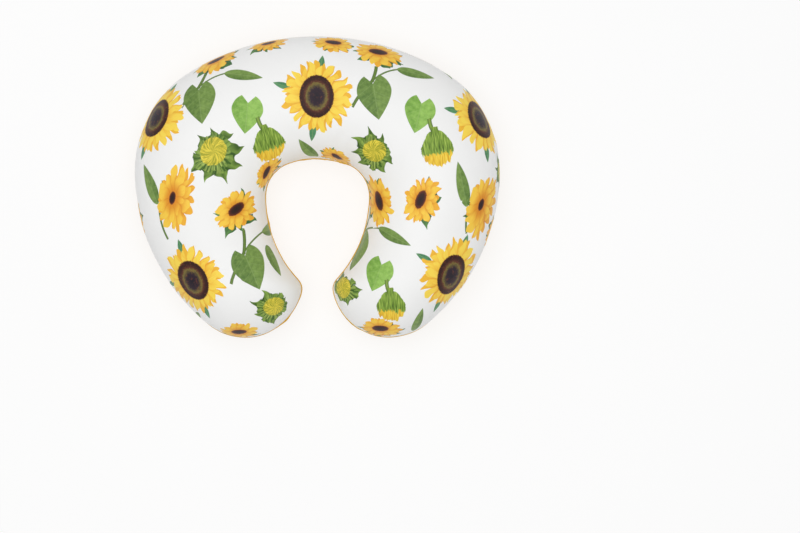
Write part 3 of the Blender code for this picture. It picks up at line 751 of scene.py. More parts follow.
# ---- The print's motifs, in millimetres -----------------------------------------------------------
class Art(Shade):
    """A piece of the printed cloth with one motif, painted colour over colour on the white ground."""

    def __init__(self, name):
        super().__init__(name)
        self.place = self.attribute("motif")
        self.x, self.y, self.seed = self.parts(self.place)
        self.brush = self.noise(self.place, 0.16, 3.0, 0.6)
        self.grain = self.noise(self.place, 0.6, 2.0, 0.6)
        self.sway = self.noise(self.place, 0.055, 0.0)
        cloth = self.attribute("cloth")
        tone = self.noise(cloth, 9.0, 2.0)
        self.colour = self.mixed("F4F4F3", "FBFBFA", tone)
        self.cloth = cloth

    def lay(self, colour, mask):
        self.colour = self.mixed(self.colour, colour, mask)

    def frame(self, centre, degrees=0.0, size=1.0, flat=1.0):
        """x and y in a frame that is moved, turned, and made larger or flatter."""
        turn = math.radians(degrees)
        dx, dy = self.x - centre[0], self.y - centre[1]
        x = (dx * math.cos(turn) + dy * math.sin(turn)) / size
        y = (dy * math.cos(turn) - dx * math.sin(turn)) / (size * flat)
        return x, y

    def oval(self, x, y, half_width, half_height):
        """The distance from an oval's middle, 1 at its edge."""
        across, up = x / half_width, y / half_height
        return self.math("SQRT", across * across + up * up)

    def ring(self, x, y, count, phase, sway):
        """In a ring of parts: the radius, the way round, how far off a part's middle, its number."""
        radius = self.math("SQRT", x * x + y * y)
        turn = self.math("ARCTAN2", y, x) * (count / math.tau)
        around = turn + phase + (self.sway - 0.5) * sway
        cell = self.math("FLOOR", around)
        number = self.math("FLOORED_MODULO", cell, float(count))
        return radius, around, abs(around - cell - 0.5) * 2, number

    def petals(self, x, y, reach, count, phase, colours):
        """A ring of pointed petals with streaks, dark where they part."""
        pale, deep, base = colours
        radius, around, off, number = self.ring(x, y, count, phase, 1.1)
        chance = self.chance(number + self.seed * 7.0 + phase)
        length = reach * (0.80 + 0.20 * chance)
        tip = length * (1 - 0.12 * off - 0.26 * off**3.0)
        share = radius / reach
        streak = self.noise(self.joined(around * 5.0, radius * 0.05, chance * 9.0), 1.0, 2.0)
        tone = self.clamped(share * 2.2 - 0.75 + (streak - 0.5) * 1.5 + (chance - 0.5) * 0.5)
        colour = self.mixed(deep, pale, tone)
        low = self.clamped(1.55 - share * 2.4 + (streak - 0.5) * 0.9)
        colour = self.mixed(colour, base, low * 0.75)
        parting = self.clamped(off**5 * (0.85 - share * 0.35))
        colour = self.mixed(colour, base, parting * 0.85)
        vein = self.clamped((streak - 0.60) * 5.0) * self.clamped(1.5 - share * 1.3)
        colour = self.mixed(colour, "E0841E", vein * 0.55)
        self.lay(colour, self.edge(tip - radius, 0.7))

    def disc(self, x, y, half_width, half_height):
        """The flower's dark middle: a mottled brown ring, an olive one and an almost black heart."""
        radius = self.oval(x, y, half_width, half_height) + (self.grain - 0.5) * 0.14
        speck = self.noise(self.place, 0.21, 3.0, 0.8)
        stops = [(0.0, "170E1C"), (0.38, "2C1A28"), (0.50, "574A2C"), (0.60, "7C6E34")]
        stops += [(0.68, "5E3320"), (0.78, "3C1812"), (0.92, "2A100C"), (1.0, "521F12")]
        colour = self.ramp(radius + (speck - 0.5) * 0.36, stops)
        colour = self.mixed(colour, "96502A", self.clamped(speck * 6 - 3.4) * 0.6)
        self.lay(colour, self.edge(1 - radius, 0.04))

    def dark_disc(self, x, y, half_width, half_height):
        """The middle of a flower that is seen at a slant: dark brown, with a rusty rim."""
        radius = self.oval(x, y, half_width, half_height) + (self.grain - 0.5) * 0.3
        stops = [(0.0, "1E0E10"), (0.6, "361713"), (0.85, "5A2616"), (1.0, "8A4A20")]
        self.lay(self.ramp(radius, stops), self.edge(1 - radius, 0.06))

    def slanted_flower(self, centre, degrees, reach, flat, middle, drop):
        """A flower seen at a slant: fewer, uneven petals, and its middle towards one side."""
        x, y = self.frame(centre, degrees, 1.0, flat)
        self.petals(x, y, reach, 16, 0.5, BACK_PETALS)
        self.petals(x, y + drop * 0.6, reach * 0.94, 12, 0.0, FACE_PETALS)
        self.petals(x, y + drop, reach * 0.72, 10, 0.3, FACE_PETALS)
        self.dark_disc(x, y + drop, middle[0], middle[1])

    def flower(self, centre, degrees, reach, flat, middle):
        """A whole flower: rings of petals round the disc."""
        x, y = self.frame(centre, degrees, 1.0, flat)
        self.petals(x, y, reach, 24, 0.5, BRIGHT_BACK_PETALS)
        self.petals(x, y, reach * 0.97, 20, 0.0, BRIGHT_FACE_PETALS)
        self.petals(x, y, reach * 0.78, 18, 0.3, BRIGHT_FACE_PETALS)
        self.disc(x, y, middle[0], middle[1])

    def green(self, dark, light, side, veins):
        tone = self.clamped(self.brush * 1.5 - 0.35 + side * 0.3)
        colour = self.mixed(dark, light, tone)
        return self.mixed(colour, "A9C080", veins * 0.35)

    def heart_leaf(self, base, degrees, length, width, dark, light):
        """A leaf with two lobes at its stalk, which hangs down from its base."""
        x, y = self.frame(base, degrees)
        down = y * (-1 / length)
        across = abs(x) * (2 / width)
        round_top = self.math("SQRT", self.clamped(1 - ((0.3 - down) / 0.46) ** 2.0))
        taper = 1 - self.clamped((down - 0.3) / 0.7) ** 1.55
        half = round_top + (taper - round_top) * self.edge(down - 0.3, 0.001)
        notch = down - (0.10 - across * 0.50)
        inside = self.least((half - across) * width / 2, notch * length, length - down * length)
        rib = self.clamped(1 - abs(x) * 1.1)
        vein = self.math("FRACT", down * 5.0 - across * 1.3)
        veins = self.math("MAXIMUM", rib, self.clamped(1 - abs(vein - 0.5) * 14) * 0.6)
        side = self.edge(x, 6.0)
        self.lay(self.green(dark, light, side, veins), self.edge(inside, 0.7))

    def pointed_leaf(self, base, degrees, length, width, dark, light):
        """A narrow leaf that hangs down from its base to a drawn-out point."""
        x, y = self.frame(base, degrees)
        down = self.clamped(y * (-1 / length))
        half = down**0.6 * (1 - down) ** 0.95 * (width * 0.95)
        within = self.least(half - abs(x), y * -1, y + length)
        rib = self.clamped(1 - abs(x) * 1.2)
        vein = self.math("FRACT", down * 6.0 - abs(x) * 0.09)
        veins = self.math("MAXIMUM", rib, self.clamped(1 - abs(vein - 0.5) * 14) * 0.5)
        self.lay(self.green(dark, light, self.edge(x, 4.0), veins), self.edge(within, 0.7))

    def stem(self, start, end, bend, thickness, colour="6E8A3C"):
        """A stalk from one point to another, bowed to one side."""
        run = Vector(end) - Vector(start)
        degrees = math.degrees(math.atan2(run.y, run.x))
        x, y = self.frame(start, degrees)
        along = self.clamped(x * (1 / run.length))
        bow = along * (1 - along) * (4 * bend)
        off = abs(y - bow)
        within = self.least(thickness - off, x + 1.5, (run.length + 1.5) - x)
        shine = self.clamped(1 - off / thickness)
        tone = self.mixed("4E6A2C", colour, shine)
        self.lay(tone, self.edge(within, 0.6))

    def spiky(self, x, y, reach, count, sharpness, phase, dark, light):
        """A ring of green sepals that end in points."""
        radius, around, off, number = self.ring(x, y, count, phase, 0.9)
        chance = self.chance(number + self.seed + phase)
        tip = reach * (0.70 + 0.30 * chance + sharpness * (1 - off) ** 2.2 * (0.4 + chance))
        streak = self.noise(self.joined(around * 3.0, radius * 0.04, phase), 1.0, 2.0)
        tone = self.clamped(streak * 2.4 - 0.7 - off**4 * 0.8)
        self.lay(self.mixed(dark, light, tone), self.edge(tip - radius, 0.7))

    def strands(self, x, y, half_width, half_height):
        """The closed petals in the middle of a bud: fine yellow strands that turn inwards."""
        radius = self.oval(x, y, half_width, half_height) + (self.brush - 0.5) * 0.3
        swirl = self.math("ARCTAN2", y, x) * 7.0 + radius * 5.0
        streak = self.noise(self.joined(swirl, radius * 1.5, self.seed), 1.1, 3.0, 0.7)
        stops = [(0.3, "6E8A24"), (0.45, "B6AE30"), (0.6, "F0DC4C")]
        self.lay(self.ramp(streak, stops), self.edge(1 - radius, 0.05))

    def hanging_head(self, x, y):
        """A bud seen from its side, its green sepals above and its petals below."""
        down = y * -1
        share = self.clamped(down / 60.0)
        teeth = self.noise(self.joined(x * 0.22, 0.0, self.seed), 1.0, 2.0)
        half = 3.5 + 20.0 * self.clamped((share - 0.10) * 2.4) ** 0.55 - share**5 * 7.0
        side = half - abs(x) + (self.brush - 0.5) * 5.0
        end = 48.0 + teeth * 24.0 - x * x * 0.026
        inside = self.least(side, end - down, down)
        streak = self.noise(self.joined(x * 0.5, down * 0.05, 2.0), 1.0, 2.0)
        yellow = [(0.3, "D49C22"), (0.5, "F0C838"), (0.7, "FADF58")]
        self.lay(self.ramp(streak, yellow), self.edge(inside, 0.7))
        cut = 28.0 + teeth * 26.0
        tuft = self.least(side + 1.5, cut - down + (streak - 0.5) * 14.0, down)
        green = [(0.28, "3E5A1C"), (0.5, "7FA03A"), (0.72, "B4CE60")]
        self.lay(self.ramp(streak, green), self.edge(tuft, 0.7))

    def printed(self):
        """Ends the motif with the cloth's own fine plain weave and slight sheen."""
        along, across, _ = self.parts(self.cloth)
        pitch = math.tau / 0.0009
        weave = self.math("SINE", along * pitch) * self.math("SINE", across * pitch)
        drape = self.noise(self.cloth, 60.0, 3.0, 0.6)
        return self.finish(
            self.colour, 0.56 + drape * 0.12, weave * 0.1 + drape, lift=0.0006, strength=0.35,
            specular_ior_level=0.32, sheen_weight=0.18, sheen_roughness=0.45,
        )


LEAF_GREENS = ("4C6E2E", "86A454")
LIGHT_GREENS = ("6A9C3A", "A2CE66")
BACK_PETALS = ("F4B436", "E89622", "C46A18")
FACE_PETALS = ("FCD04A", "F3AE30", "D87C1C")
BRIGHT_BACK_PETALS = ("F6BE38", "EC9C26", "C76E18")
BRIGHT_FACE_PETALS = ("FFDE55", "F8BC34", "DF8A20")


def sunflower(art):
    for degrees, reach in ((162, 68), (82, 66), (-96, 70)):
        turn = math.radians(degrees)
        base = (reach * math.cos(turn) * 0.62, reach * math.sin(turn) * 0.62)
        art.pointed_leaf(base, degrees + 90, reach * 0.40, 15, "2F6E4A", "5F9E6C")
    art.flower((0, 0), 0, 58, 1.06, (26, 31))


def branch(art):
    art.stem((-30, -39), (0, 0), 2.0, 2.4)
    art.stem((0, 0), (9, 40), -2.0, 2.6)
    art.stem((0, 0), (44, 22), 4.0, 1.3)
    art.pointed_leaf((40, 22), 80, 62, 26, *LEAF_GREENS)
    art.heart_leaf((0, 2), 9, 62, 53, *LEAF_GREENS)


def nodding_bud(art):
    art.heart_leaf((-14, 30), -6, 52, 48, *LIGHT_GREENS)
    art.stem((0, 2), (13, -20), -2.0, 3.2, "8CAA4A")
    art.hanging_head(*art.frame((9, -8), 16))


def round_bud(art):
    x, y = art.frame((0, 0), 0, 1.0, 1.06)
    art.spiky(x, y, 30, 9, 0.40, 0.0, "35561A", "86A848")
    art.spiky(x, y, 31, 14, 0.05, 0.4, "3E6420", "A0BE58")
    art.spiky(x, y, 26, 17, 0.05, 0.7, "3A5C1A", "B4CC66")
    art.strands(*art.frame((2, 4), 20), 21, 18)


def side_flower(art):
    art.stem((10, -52), (-2, -6), 3.0, 1.7)
    art.stem((-2, -6), (12, 6), 3.0, 2.6)
    art.pointed_leaf((-5, 0), 205, 70, 30, *LEAF_GREENS)
    art.spiky(*art.frame((14, 6), 0, 1.0, 1.2), 17, 7, 0.5, 0.2, "30561E", "6A9040")
    art.slanted_flower((27, 8), 80, 57, 0.56, (10, 9), -12.0)


def tilted_flower(art):
    art.spiky(*art.frame((0, -5), 0, 1.0, 0.7), 31, 9, 0.45, 0.2, "2F5E34", "5F8E4C")
    art.slanted_flower((0, 0), 0, 41, 0.74, (15, 10), -4.0)


def leaf(art):
    art.pointed_leaf((0, 30), 0, 60, 28, *LEAF_GREENS)


# Each motif's painter, and the discs (x, y, radius) that cover it.
MOTIFS = {
    "ground": (None, []),
    "sunflower": (sunflower, [(0, 0, 61), (-57, 18, 17), (8, 58, 16), (-6, -60, 17)]),
    "branch": (branch, [
        (5, 20, 14), (9, 36, 8), (5, -28, 38), (-5, -14, 31), (20, 8, 16), (45, 20, 16),
        (72, 16, 30), (32, 14, 8), (-19, -24, 15), (-28, -36, 9),
    ]),
    "nodding_bud": (nodding_bud, [(-15, 8, 36), (2, -8, 12), (20, -40, 34)]),
    "round_bud": (round_bud, [(0, 0, 46)]),
    "side_flower": (side_flower, [
        (25, 8, 38), (30, 38, 30), (22, -22, 32), (-20, 32, 22), (-30, 54, 14), (4, -28, 10),
        (9, -48, 10),
    ]),
    "tilted_flower": (tilted_flower, [(0, -2, 33), (-17, -2, 28), (17, -2, 28)]),
    "leaf": (leaf, [(0, 18, 16), (0, 0, 17), (0, -20, 14)]),
}

# Where the motifs lie in plan: x, y in millimetres, degrees, size.
PLACES = {
    "sunflower": [
        (-1, 137, 0, 1), (-189, -143, 25, 1), (204, -135, -12, 1), (249, 104, 10, 1),
        (-246, 106, -14, 1),
    ],
    "branch": [(83, 160, 0, 1), (-180, 151, 0, 1), (-111, -100, 14, 1), (71, -69, -16, 0.95)],
    "nodding_bud": [(-90, 102, 0, 1), (169, 100, -8, 1), (104, -143, -14, 0.92)],
    "round_bud": [
        (-156, 49, 35, 1.06), (85, 51, 0, 0.92), (-68, -184, -20, 0.86), (40, -157, 60, 0.8),
    ],
    "side_flower": [(-238, -26, 0, 1), (231, -31, -12, 1)],
    "tilted_flower": [
        (159, -20, 68, 1), (93, 204, -4, 1.05), (-155, 193, 28, 1.05), (-121, -36, 34, 1),
        (92, -22, -70, 1), (24, 219, -10, 0.9), (-74, 219, 20, 0.85), (96, -218, 0, 0.95),
        (-119, -222, 10, 0.9), (-76, 22, 70, 0.7), (28, 46, -60, 0.6), (-274, -55, 80, 0.9),
    ],
    "leaf": [(-67, -112, 24, 0.85), (153, -205, 168, 0.95), (-15, 57, 215, 0.8)],
}
CELL_MARGIN = 0.003  # of a motif's cell past its discs
WALL_KINDS = ("leaf", "round_bud", "tilted_flower", "leaf", "tilted_flower")
WALL_SPACING = 0.085
WALL_REACH = 0.040  # of a wall motif past the plan's edge, over the flat cloth
WALL_CLEARANCE = 0.082


def motif_list(points):
    """Every motif as (kind, place on the flat cloth, turn, size)."""
    plan = points[..., :2].reshape(-1, 2)
    flat = cloth_places().reshape(-1, 2)
    found = []
    for kind, places in PLACES.items():
        for x, y, degrees, size in places:
            here = np.array((x, y)) * MILLIMETRE
            nearest = np.argmin(np.linalg.norm(plan - here, axis=1))
            place = flat[nearest] + here - plan[nearest]
            found.append((kind, place, math.radians(degrees), size))
    steps = int(ROUND_END_START * 1.45 / WALL_SPACING)
    number = 0
    for mirrored in (1, -1):
        for i in range(steps + 1):
            edge, inward = outline(WALL_SPACING * (i + 0.5))
            place = (edge - inward * WALL_REACH) * (mirrored, 1)
            if min(np.linalg.norm(place - other[1]) for other in found) < WALL_CLEARANCE:
                continue
            kind = WALL_KINDS[number % len(WALL_KINDS)]
            found.append((kind, place, 1.9 * number, 0.85))
            number += 1
    return found


def print_motifs(mesh, motifs):
    """Gives each face its nearest motif's material, and each corner its place in that motif."""
    names = list(MOTIFS)
    for name in names:
        art = Art(f"print_{name}")
        if MOTIFS[name][0]:
            MOTIFS[name][0](art)
        mesh.materials.append(art.printed())
    flat = np.empty(len(mesh.vertices) * 3, np.float32)
    mesh.attributes["cloth"].data.foreach_get("vector", flat)
    flat = flat.reshape(-1, 3)[:, :2]
    corners = np.empty(len(mesh.loops), np.int32)
    mesh.loops.foreach_get("vertex_index", corners)
    totals = np.empty(len(mesh.polygons), np.int32)
    mesh.polygons.foreach_get("loop_total", totals)
    face_of = np.repeat(np.arange(len(totals)), totals)
    centres = np.zeros((len(totals), 2))
    np.add.at(centres, face_of, flat[corners])
    centres /= totals[:, None]

    nearest = np.full(len(totals), CELL_MARGIN)
    chosen = np.full(len(totals), -1)
    frames = []
    for number, (kind, place, turn, size) in enumerate(motifs):
        turning = np.array(((math.cos(turn), -math.sin(turn)), (math.sin(turn), math.cos(turn))))
        frames.append((place, turning, size))
        local = (centres - place) @ turning / (size * MILLIMETRE)
        for x, y, radius in MOTIFS[kind][1]:
            gap = (np.hypot(local[:, 0] - x, local[:, 1] - y) - radius) * size * MILLIMETRE
            closer = gap < nearest
            nearest[closer] = gap[closer]
            chosen[closer] = number
    slots = np.zeros(len(totals), np.int32)
    for number, motif in enumerate(motifs):
        slots[chosen == number] = names.index(motif[0])
    mesh.polygons.foreach_set("material_index", slots)

    drawn = np.zeros((len(corners), 3), np.float32)
    for number, (place, turning, size) in enumerate(frames):
        here = chosen[face_of] == number
        drawn[here, :2] = (flat[corners[here]] - place) @ turning / (size * MILLIMETRE)
        drawn[here, 2] = number * 1.7
    mesh.attributes.new("motif", "FLOAT_VECTOR", "CORNER").data.foreach_set("vector", drawn.ravel())


# ---- The other finishes ---------------------------------------------------------------------------
def mustard_plush():
    """Short pile whose nap catches the light in soft patches."""
    shade = Shade("mustard_plush")
    place = shade.object_place()
    brushed = shade.noise(place, 7.0, 3.0, 0.55, 0.6)
    streaks = shade.noise(place, 38.0, 3.0, 0.6, 1.2)
    pile = shade.noise(place, 620.0, 2.0, 0.6)
    tone = shade.clamped(brushed * 1.1 - 0.15 + (streaks - 0.5) * 0.5 + (pile - 0.5) * 0.7)
    colour = shade.ramp(tone, [(0.0, "D39C20"), (0.45, "E6B63A"), (1.0, "F2CB5C")])
    return shade.finish(
        colour, 0.78 + pile * 0.18, pile * 0.6 + streaks * 0.5, lift=0.0009, strength=0.55,
        specular_ior_level=0.2, sheen_weight=0.45, sheen_roughness=0.35, sheen_tint=paint("F7DE90"),
    )


def plain_woven(name, dark, light, pitch, roughness, lift, **constants):
    """A plain weave of one colour."""
    shade = Shade(name)
    place = shade.object_place()
    x, y, z = shade.parts(place)
    turn = math.tau / pitch
    weft = shade.math("SINE", (x + y) * turn)
    warp = shade.math("SINE", z * turn)
    fibre = shade.noise(place, 900.0, 2.0)
    broad = shade.noise(place, 14.0, 2.0)
    colour = shade.mixed(dark, light, shade.clamped(broad * 0.7 + fibre * 0.5 - 0.1))
    height = weft * 0.25 + warp * 0.25 + fibre * 0.5
    return shade.finish(colour, roughness + fibre * 0.1, height, lift, 0.6, **constants)


def ticking():
    """Close white ticking with a twill line."""
    shade = Shade("white_ticking")
    place = shade.object_place()
    x, y, z = shade.parts(place)
    twill = shade.math("SINE", (x + y * 0.6 + z) * (math.tau / 0.0016))
    fibre = shade.noise(place, 700.0, 2.0)
    colour = shade.mixed("E6E5E0", "F4F3EF", shade.clamped(fibre * 0.8 + twill * 0.1))
    return shade.finish(colour, 0.78 + fibre * 0.1, twill * 0.3 + fibre * 0.4, 0.0004, 0.5)


def polyester_fibre():
    """Matted hollow fibre: tangled white strands."""
    shade = Shade("polyester_fibre")
    place = shade.object_place()
    tangle = shade.noise(place, 120.0, 6.0, 0.75, 2.5)
    clump = shade.noise(place, 18.0, 3.0, 0.6)
    colour = shade.mixed("DEDFDC", "FAFAF8", shade.clamped(tangle * 0.8 + clump * 0.4 - 0.1))
    height = tangle + clump * 0.8
    return shade.finish(colour, 0.86 + tangle * 0.1, height, 0.004, 0.8, sheen_weight=0.3)


def nickel_plate():
    """Plated zinc casting: fine satin with small rubs and pits."""
    shade = Shade("nickel_plate")
    place = shade.object_place()
    rub = shade.noise(place, 260.0, 4.0, 0.65)
    pits = shade.noise(place, 1400.0, 2.0)
    colour = shade.mixed("A9AAAA", "D6D6D3", shade.clamped(rub * 1.4 - 0.2))
    height = rub * 0.4 + pits * 0.3
    return shade.finish(colour, 0.20 + rub * 0.22, height, 0.0001, 0.4, metallic=1.0)


def nylon_coil():
    """Worn nylon with a slight gloss."""
    shade = Shade("nylon_coil")
    wear = shade.noise(shade.object_place(), 320.0, 3.0)
    colour = shade.mixed("E8E6DE", "F6F5F0", shade.clamped(wear))
    return shade.finish(colour, 0.28 + wear * 0.15, wear, 0.0001, 0.3, specular_ior_level=0.5)


def sewing_thread():
    """Two-ply thread: fine slanting strands."""
    shade = Shade("sewing_thread")
    place = shade.object_place()
    x, y, z = shade.parts(place)
    twist = shade.math("SINE", (x + y + z * 1.4) * (math.tau / 0.0007))
    fibre = shade.noise(place, 1500.0, 2.0)
    colour = shade.mixed("E2DFD4", "F6F4EC", shade.clamped(twist * 0.3 + fibre))
    return shade.finish(colour, 0.55 + fibre * 0.15, twist * 0.5 + fibre * 0.3, 0.0002, 0.7)


# ==== The panels =================================================================================
def make_cover(plush):
    """The cover's two panels, which are filled together and then sewn into two sheets."""
    front = puckered(dome(1, TOP_HEIGHT, 0, GRID.half_gap, FOLD_RADIUS), 1, 11.0)
    back = puckered(dome(-1, BOTTOM_HEIGHT, 0, GRID.half_gap, FOLD_RADIUS), -1, 41.0)
    front, back = filled(front, back)
    for start, end in PRINT_FOLDS:
        front = creased(front, start, end, *PRINT_FOLD_SIZE)
    for start, end in PLUSH_FOLDS:
        back = creased(back, start, end, *PLUSH_FOLD_SIZE)
    front = rolled(wandered(front, 5.0), PRINT_ROLL)
    back = rolled(wandered(back, 5.0), PLUSH_ROLL)
    above = (back[..., 2] - TABLE_LEVEL) / TABLE_SOFTNESS
    back[..., 2] = TABLE_LEVEL + np.logaddexp(0, above) * TABLE_SOFTNESS

    mesh = finer("cover_front", sewn_sheet("cover_front", front, 1, ring_loops(1, FOLD_RADIUS)))
    print_motifs(mesh, motif_list(front))
    printed = thickened(linked("printed_cover", mesh), PRINT_THICKNESS)
    stands_in(printed, "pillow", "cover_front")

    mesh = finer("cover_back", sewn_sheet("cover_back", back, -1, ring_loops(-1, FOLD_RADIUS)))
    mesh.materials.append(plush)
    backing = thickened(linked("plush_cover", mesh), PLUSH_THICKNESS)
    stands_in(backing, "pillow", "cover_back")
    return front, back


def make_inner_pillow(case_finish, fibre_finish):
    """The filled inner pillow under the cover: two ticking panels and the filling inside them."""
    gap = np.full(GRID.shape, SEAM_GAP / 2)
    rise = TOP_HEIGHT - LAYER_GAP - PRINT_THICKNESS - TICKING_SLACK
    drop = BOTTOM_HEIGHT - LAYER_GAP - PLUSH_THICKNESS - TICKING_SLACK
    floor = PLUSH_THICKNESS + UNDER_TICKING
    away = from_seam()
    for name, node, side, height in (
        ("inner_case_upper", "inner_case_front", 1, rise),
        ("inner_case_lower", "inner_case_back", -1, drop),
    ):
        points = dome(side, height, INNER_INSET, gap, TICKING_FOLD_RADIUS)
        gathers = noise_at(GRID.distance, 0.012, 70.0 + side) * np.exp(-away / 0.016)
        shift = 0.0006 * (gathers - 1) * (1 - np.exp(-away / 0.003))
        points = points + shift[..., None] * outward_normals(side)
        points[..., 2] = np.maximum(points[..., 2], floor)
        loops = ring_loops(side, TICKING_FOLD_RADIUS, TICKING_ALLOWANCE)
        mesh = sewn_sheet(name, points, side, loops)
        mesh.materials.append(case_finish)
        mesh.shade_smooth()
        made = thickened(linked(name, mesh), TICKING_THICKNESS)
        stands_in(made, "pillow", node)

    wall = TICKING_THICKNESS + FILLING_GAP + FILLING_SLACK
    inset = INNER_INSET + TICKING_ALLOWANCE + FILLING_MARGIN
    upper = dome(1, rise - wall, inset, gap, FILLING_FOLD)
    lower = dome(-1, drop - wall, inset, gap, FILLING_FOLD)
    for points, side in ((upper, 1), (lower, -1)):
        tufts = noise_at(points[..., :2], 0.007, 90.0 + side) - 1
        points += (0.0005 * tufts * (1 - GRID.share**8))[..., None] * outward_normals(side)
    lower[..., 2] = np.maximum(lower[..., 2], floor + wall)
    mesh = bag_mesh("fibre_mass", np.concatenate((upper.reshape(-1, 3), lower.reshape(-1, 3))))
    mesh.materials.append(fibre_finish)
    mesh.shade_smooth()
    stands_in(linked("fibre_mass", mesh), "pillow", "fibre_filling")


# ==== Zip ========================================================================================
def crown_path(end, radius, height, step=PATH_STEP, shift=0):
    """Points round the crown at a height, from one end of the zip to the other."""
    steps = math.ceil(2 * end / step)
    path = []
    for i in range(steps + 1):
        angle = (-end + 2 * end * i / steps + shift) / TAPE_RADIUS
        y = CROWN_CENTRE[1] + radius * math.cos(angle)
        path.append(Vector((radius * math.sin(angle), y, height)))
    return path


def make_tape(half, side, finish):
    """A woven tape, ribbed along its length."""
    ribs = []
    for i in range(TAPE_RIBS + 1):
        height = SEAM_HEIGHT + side * (CHAIN_SLOT_HALF + TAPE_WIDTH * i / TAPE_RIBS)
        ribs.append(crown_path(TAPE_END, TAPE_RADIUS - RIB_DEPTH * (i % 2), height))
    mesh = strip_mesh(f"tape_{half}", ribs, finish)
    if mesh.polygons[0].normal.y < 0:
        mesh.flip_normals()
    made = thickened(linked(f"woven_tape_{half}", mesh), TAPE_THICKNESS)
    stands_in(made, "pillow", f"zip_tape_{half}")


def repeat_tree(name):
    """Instances a rounded bar along a path: at a spacing, turned with the path."""
    tree = bpy.data.node_groups.new(name, "GeometryNodeTree")
    new_socket = tree.interface.new_socket
    new_socket("Geometry", in_out="INPUT", socket_type="NodeSocketGeometry")
    for label in ("Spacing", "Length", "Breadth", "Height", "Slant"):
        new_socket(label, in_out="INPUT", socket_type="NodeSocketFloat")
    new_socket("Finish", in_out="INPUT", socket_type="NodeSocketMaterial")
    new_socket("Geometry", in_out="OUTPUT", socket_type="NodeSocketGeometry")

    def add(kind, settings=None, **inputs):
        return place_node(tree, kind, settings or {}, inputs)

    given = add("NodeGroupInput")
    curve = add("GeometryNodeMeshToCurve", Mesh=given["Geometry"])
    spaced = add(
        "GeometryNodeResampleCurve", {"mode": "LENGTH"}, Curve=curve[0], Length=given["Spacing"]
    )
    bar = add("GeometryNodeMeshUVSphere", Segments=10, Rings=6, Radius=0.5)
    size = add(
        "ShaderNodeCombineXYZ", X=given["Length"], Y=given["Breadth"], Z=given["Height"]
    )
    lean = add("ShaderNodeCombineXYZ", Y=given["Slant"])
    shaped = add("GeometryNodeTransform", Geometry=bar[0], Scale=size[0], Rotation=lean[0])
    tangent = add("GeometryNodeInputTangent")
    turned = add(
        "FunctionNodeAlignRotationToVector", {"axis": "X", "pivot_axis": "Z"}, Vector=tangent[0]
    )
    copies = add(
        "GeometryNodeInstanceOnPoints", Points=spaced[0], Instance=shaped[0], Rotation=turned[0]
    )
    real = add("GeometryNodeRealizeInstances", Geometry=copies[0])
    smooth = add("GeometryNodeSetShadeSmooth", Geometry=real[0])
    dressed = add("GeometryNodeSetMaterial", Geometry=smooth[0], Material=given["Finish"])
    add("NodeGroupOutput", Geometry=dressed[0])
    return tree


def repeated(name, path, tree, finish, **sizes):
    """The tree's result along a path, as a plain mesh."""
    mesh = bpy.data.meshes.new(name)
    mesh.from_pydata([tuple(p) for p in path], [(i, i + 1) for i in range(len(path) - 1)], [])
    guide = linked(f"{name}_path", mesh)
    modifier = guide.modifiers.new("Repeat", "NODES")
    modifier.node_group = tree
    sockets = [item for item in tree.interface.items_tree if item.in_out == "INPUT"]
    given = {item.name: item.identifier for item in sockets}
    for label, value in sizes.items():
        modifier[given[label.title()]] = float(value)
    modifier[given["Finish"]] = finish
    made = linked(name, evaluated_mesh(guide))
    bpy.data.objects.remove(guide)
    return made


def make_chain(tree, finish):
    """The nylon coils: a slanted loop at every pitch on each tape, half a step apart."""
    near, far = CHAIN_SLOT_HALF - CONTACT_GAP, CHAIN_SLOT_HALF + COIL_WIDTH
    radius = TAPE_RADIUS + CONTACT_GAP + COIL_THICKNESS / 2
    for half, side, shift in (("front", 1, COIL_PITCH / 2), ("back", -1, 0)):
        height = SEAM_HEIGHT + side * (near + far) / 2
        made = repeated(
            f"coil_{half}", crown_path(CHAIN_END - COIL_PITCH, radius, height, FINE_STEP, shift),
            tree, finish, spacing=COIL_PITCH, length=0.0011, breadth=COIL_THICKNESS,
            height=far - near, slant=0.16 * side,
        )
        stands_in(made, "pillow", f"zip_coil_{half}")


def profile_point(points, row, height):
    """A point on a panel's outer side in one row, at a height."""
    outer = points[row, COLUMNS // 2 :]
    order = np.argsort(outer[:, 2])
    return [np.interp(height, outer[order, 2], outer[order, axis]) for axis in range(2)]


def make_topstitching(front, back, tree, finish):
    """A row of stitches in the cloth beside each edge of the zip's window."""
    rows = np.where(abs(GRID.distance[:, -1]) <= on_crown(WINDOW_END) + 1e-6)[0]
    for half, side, points in (("front", 1, front), ("back", -1, back)):
        height = SEAM_HEIGHT + side * (WINDOW_HALF + FOLD_RADIUS + STITCH_SETBACK)
        path = []
        for row in rows:
            x, y = profile_point(points, row, height)
            outward = Vector((x, y - CROWN_CENTRE[1])).normalized() * STITCH_LIFT
            path.append(Vector((x + outward.x, y + outward.y, height)))
        made = repeated(
            f"stitches_{half}", path, tree, finish, spacing=0.0034, length=0.0027,
            breadth=0.0007, height=0.0007, slant=0.05,
        )
        stands_in(made, "pillow", f"topstitch_{half}")


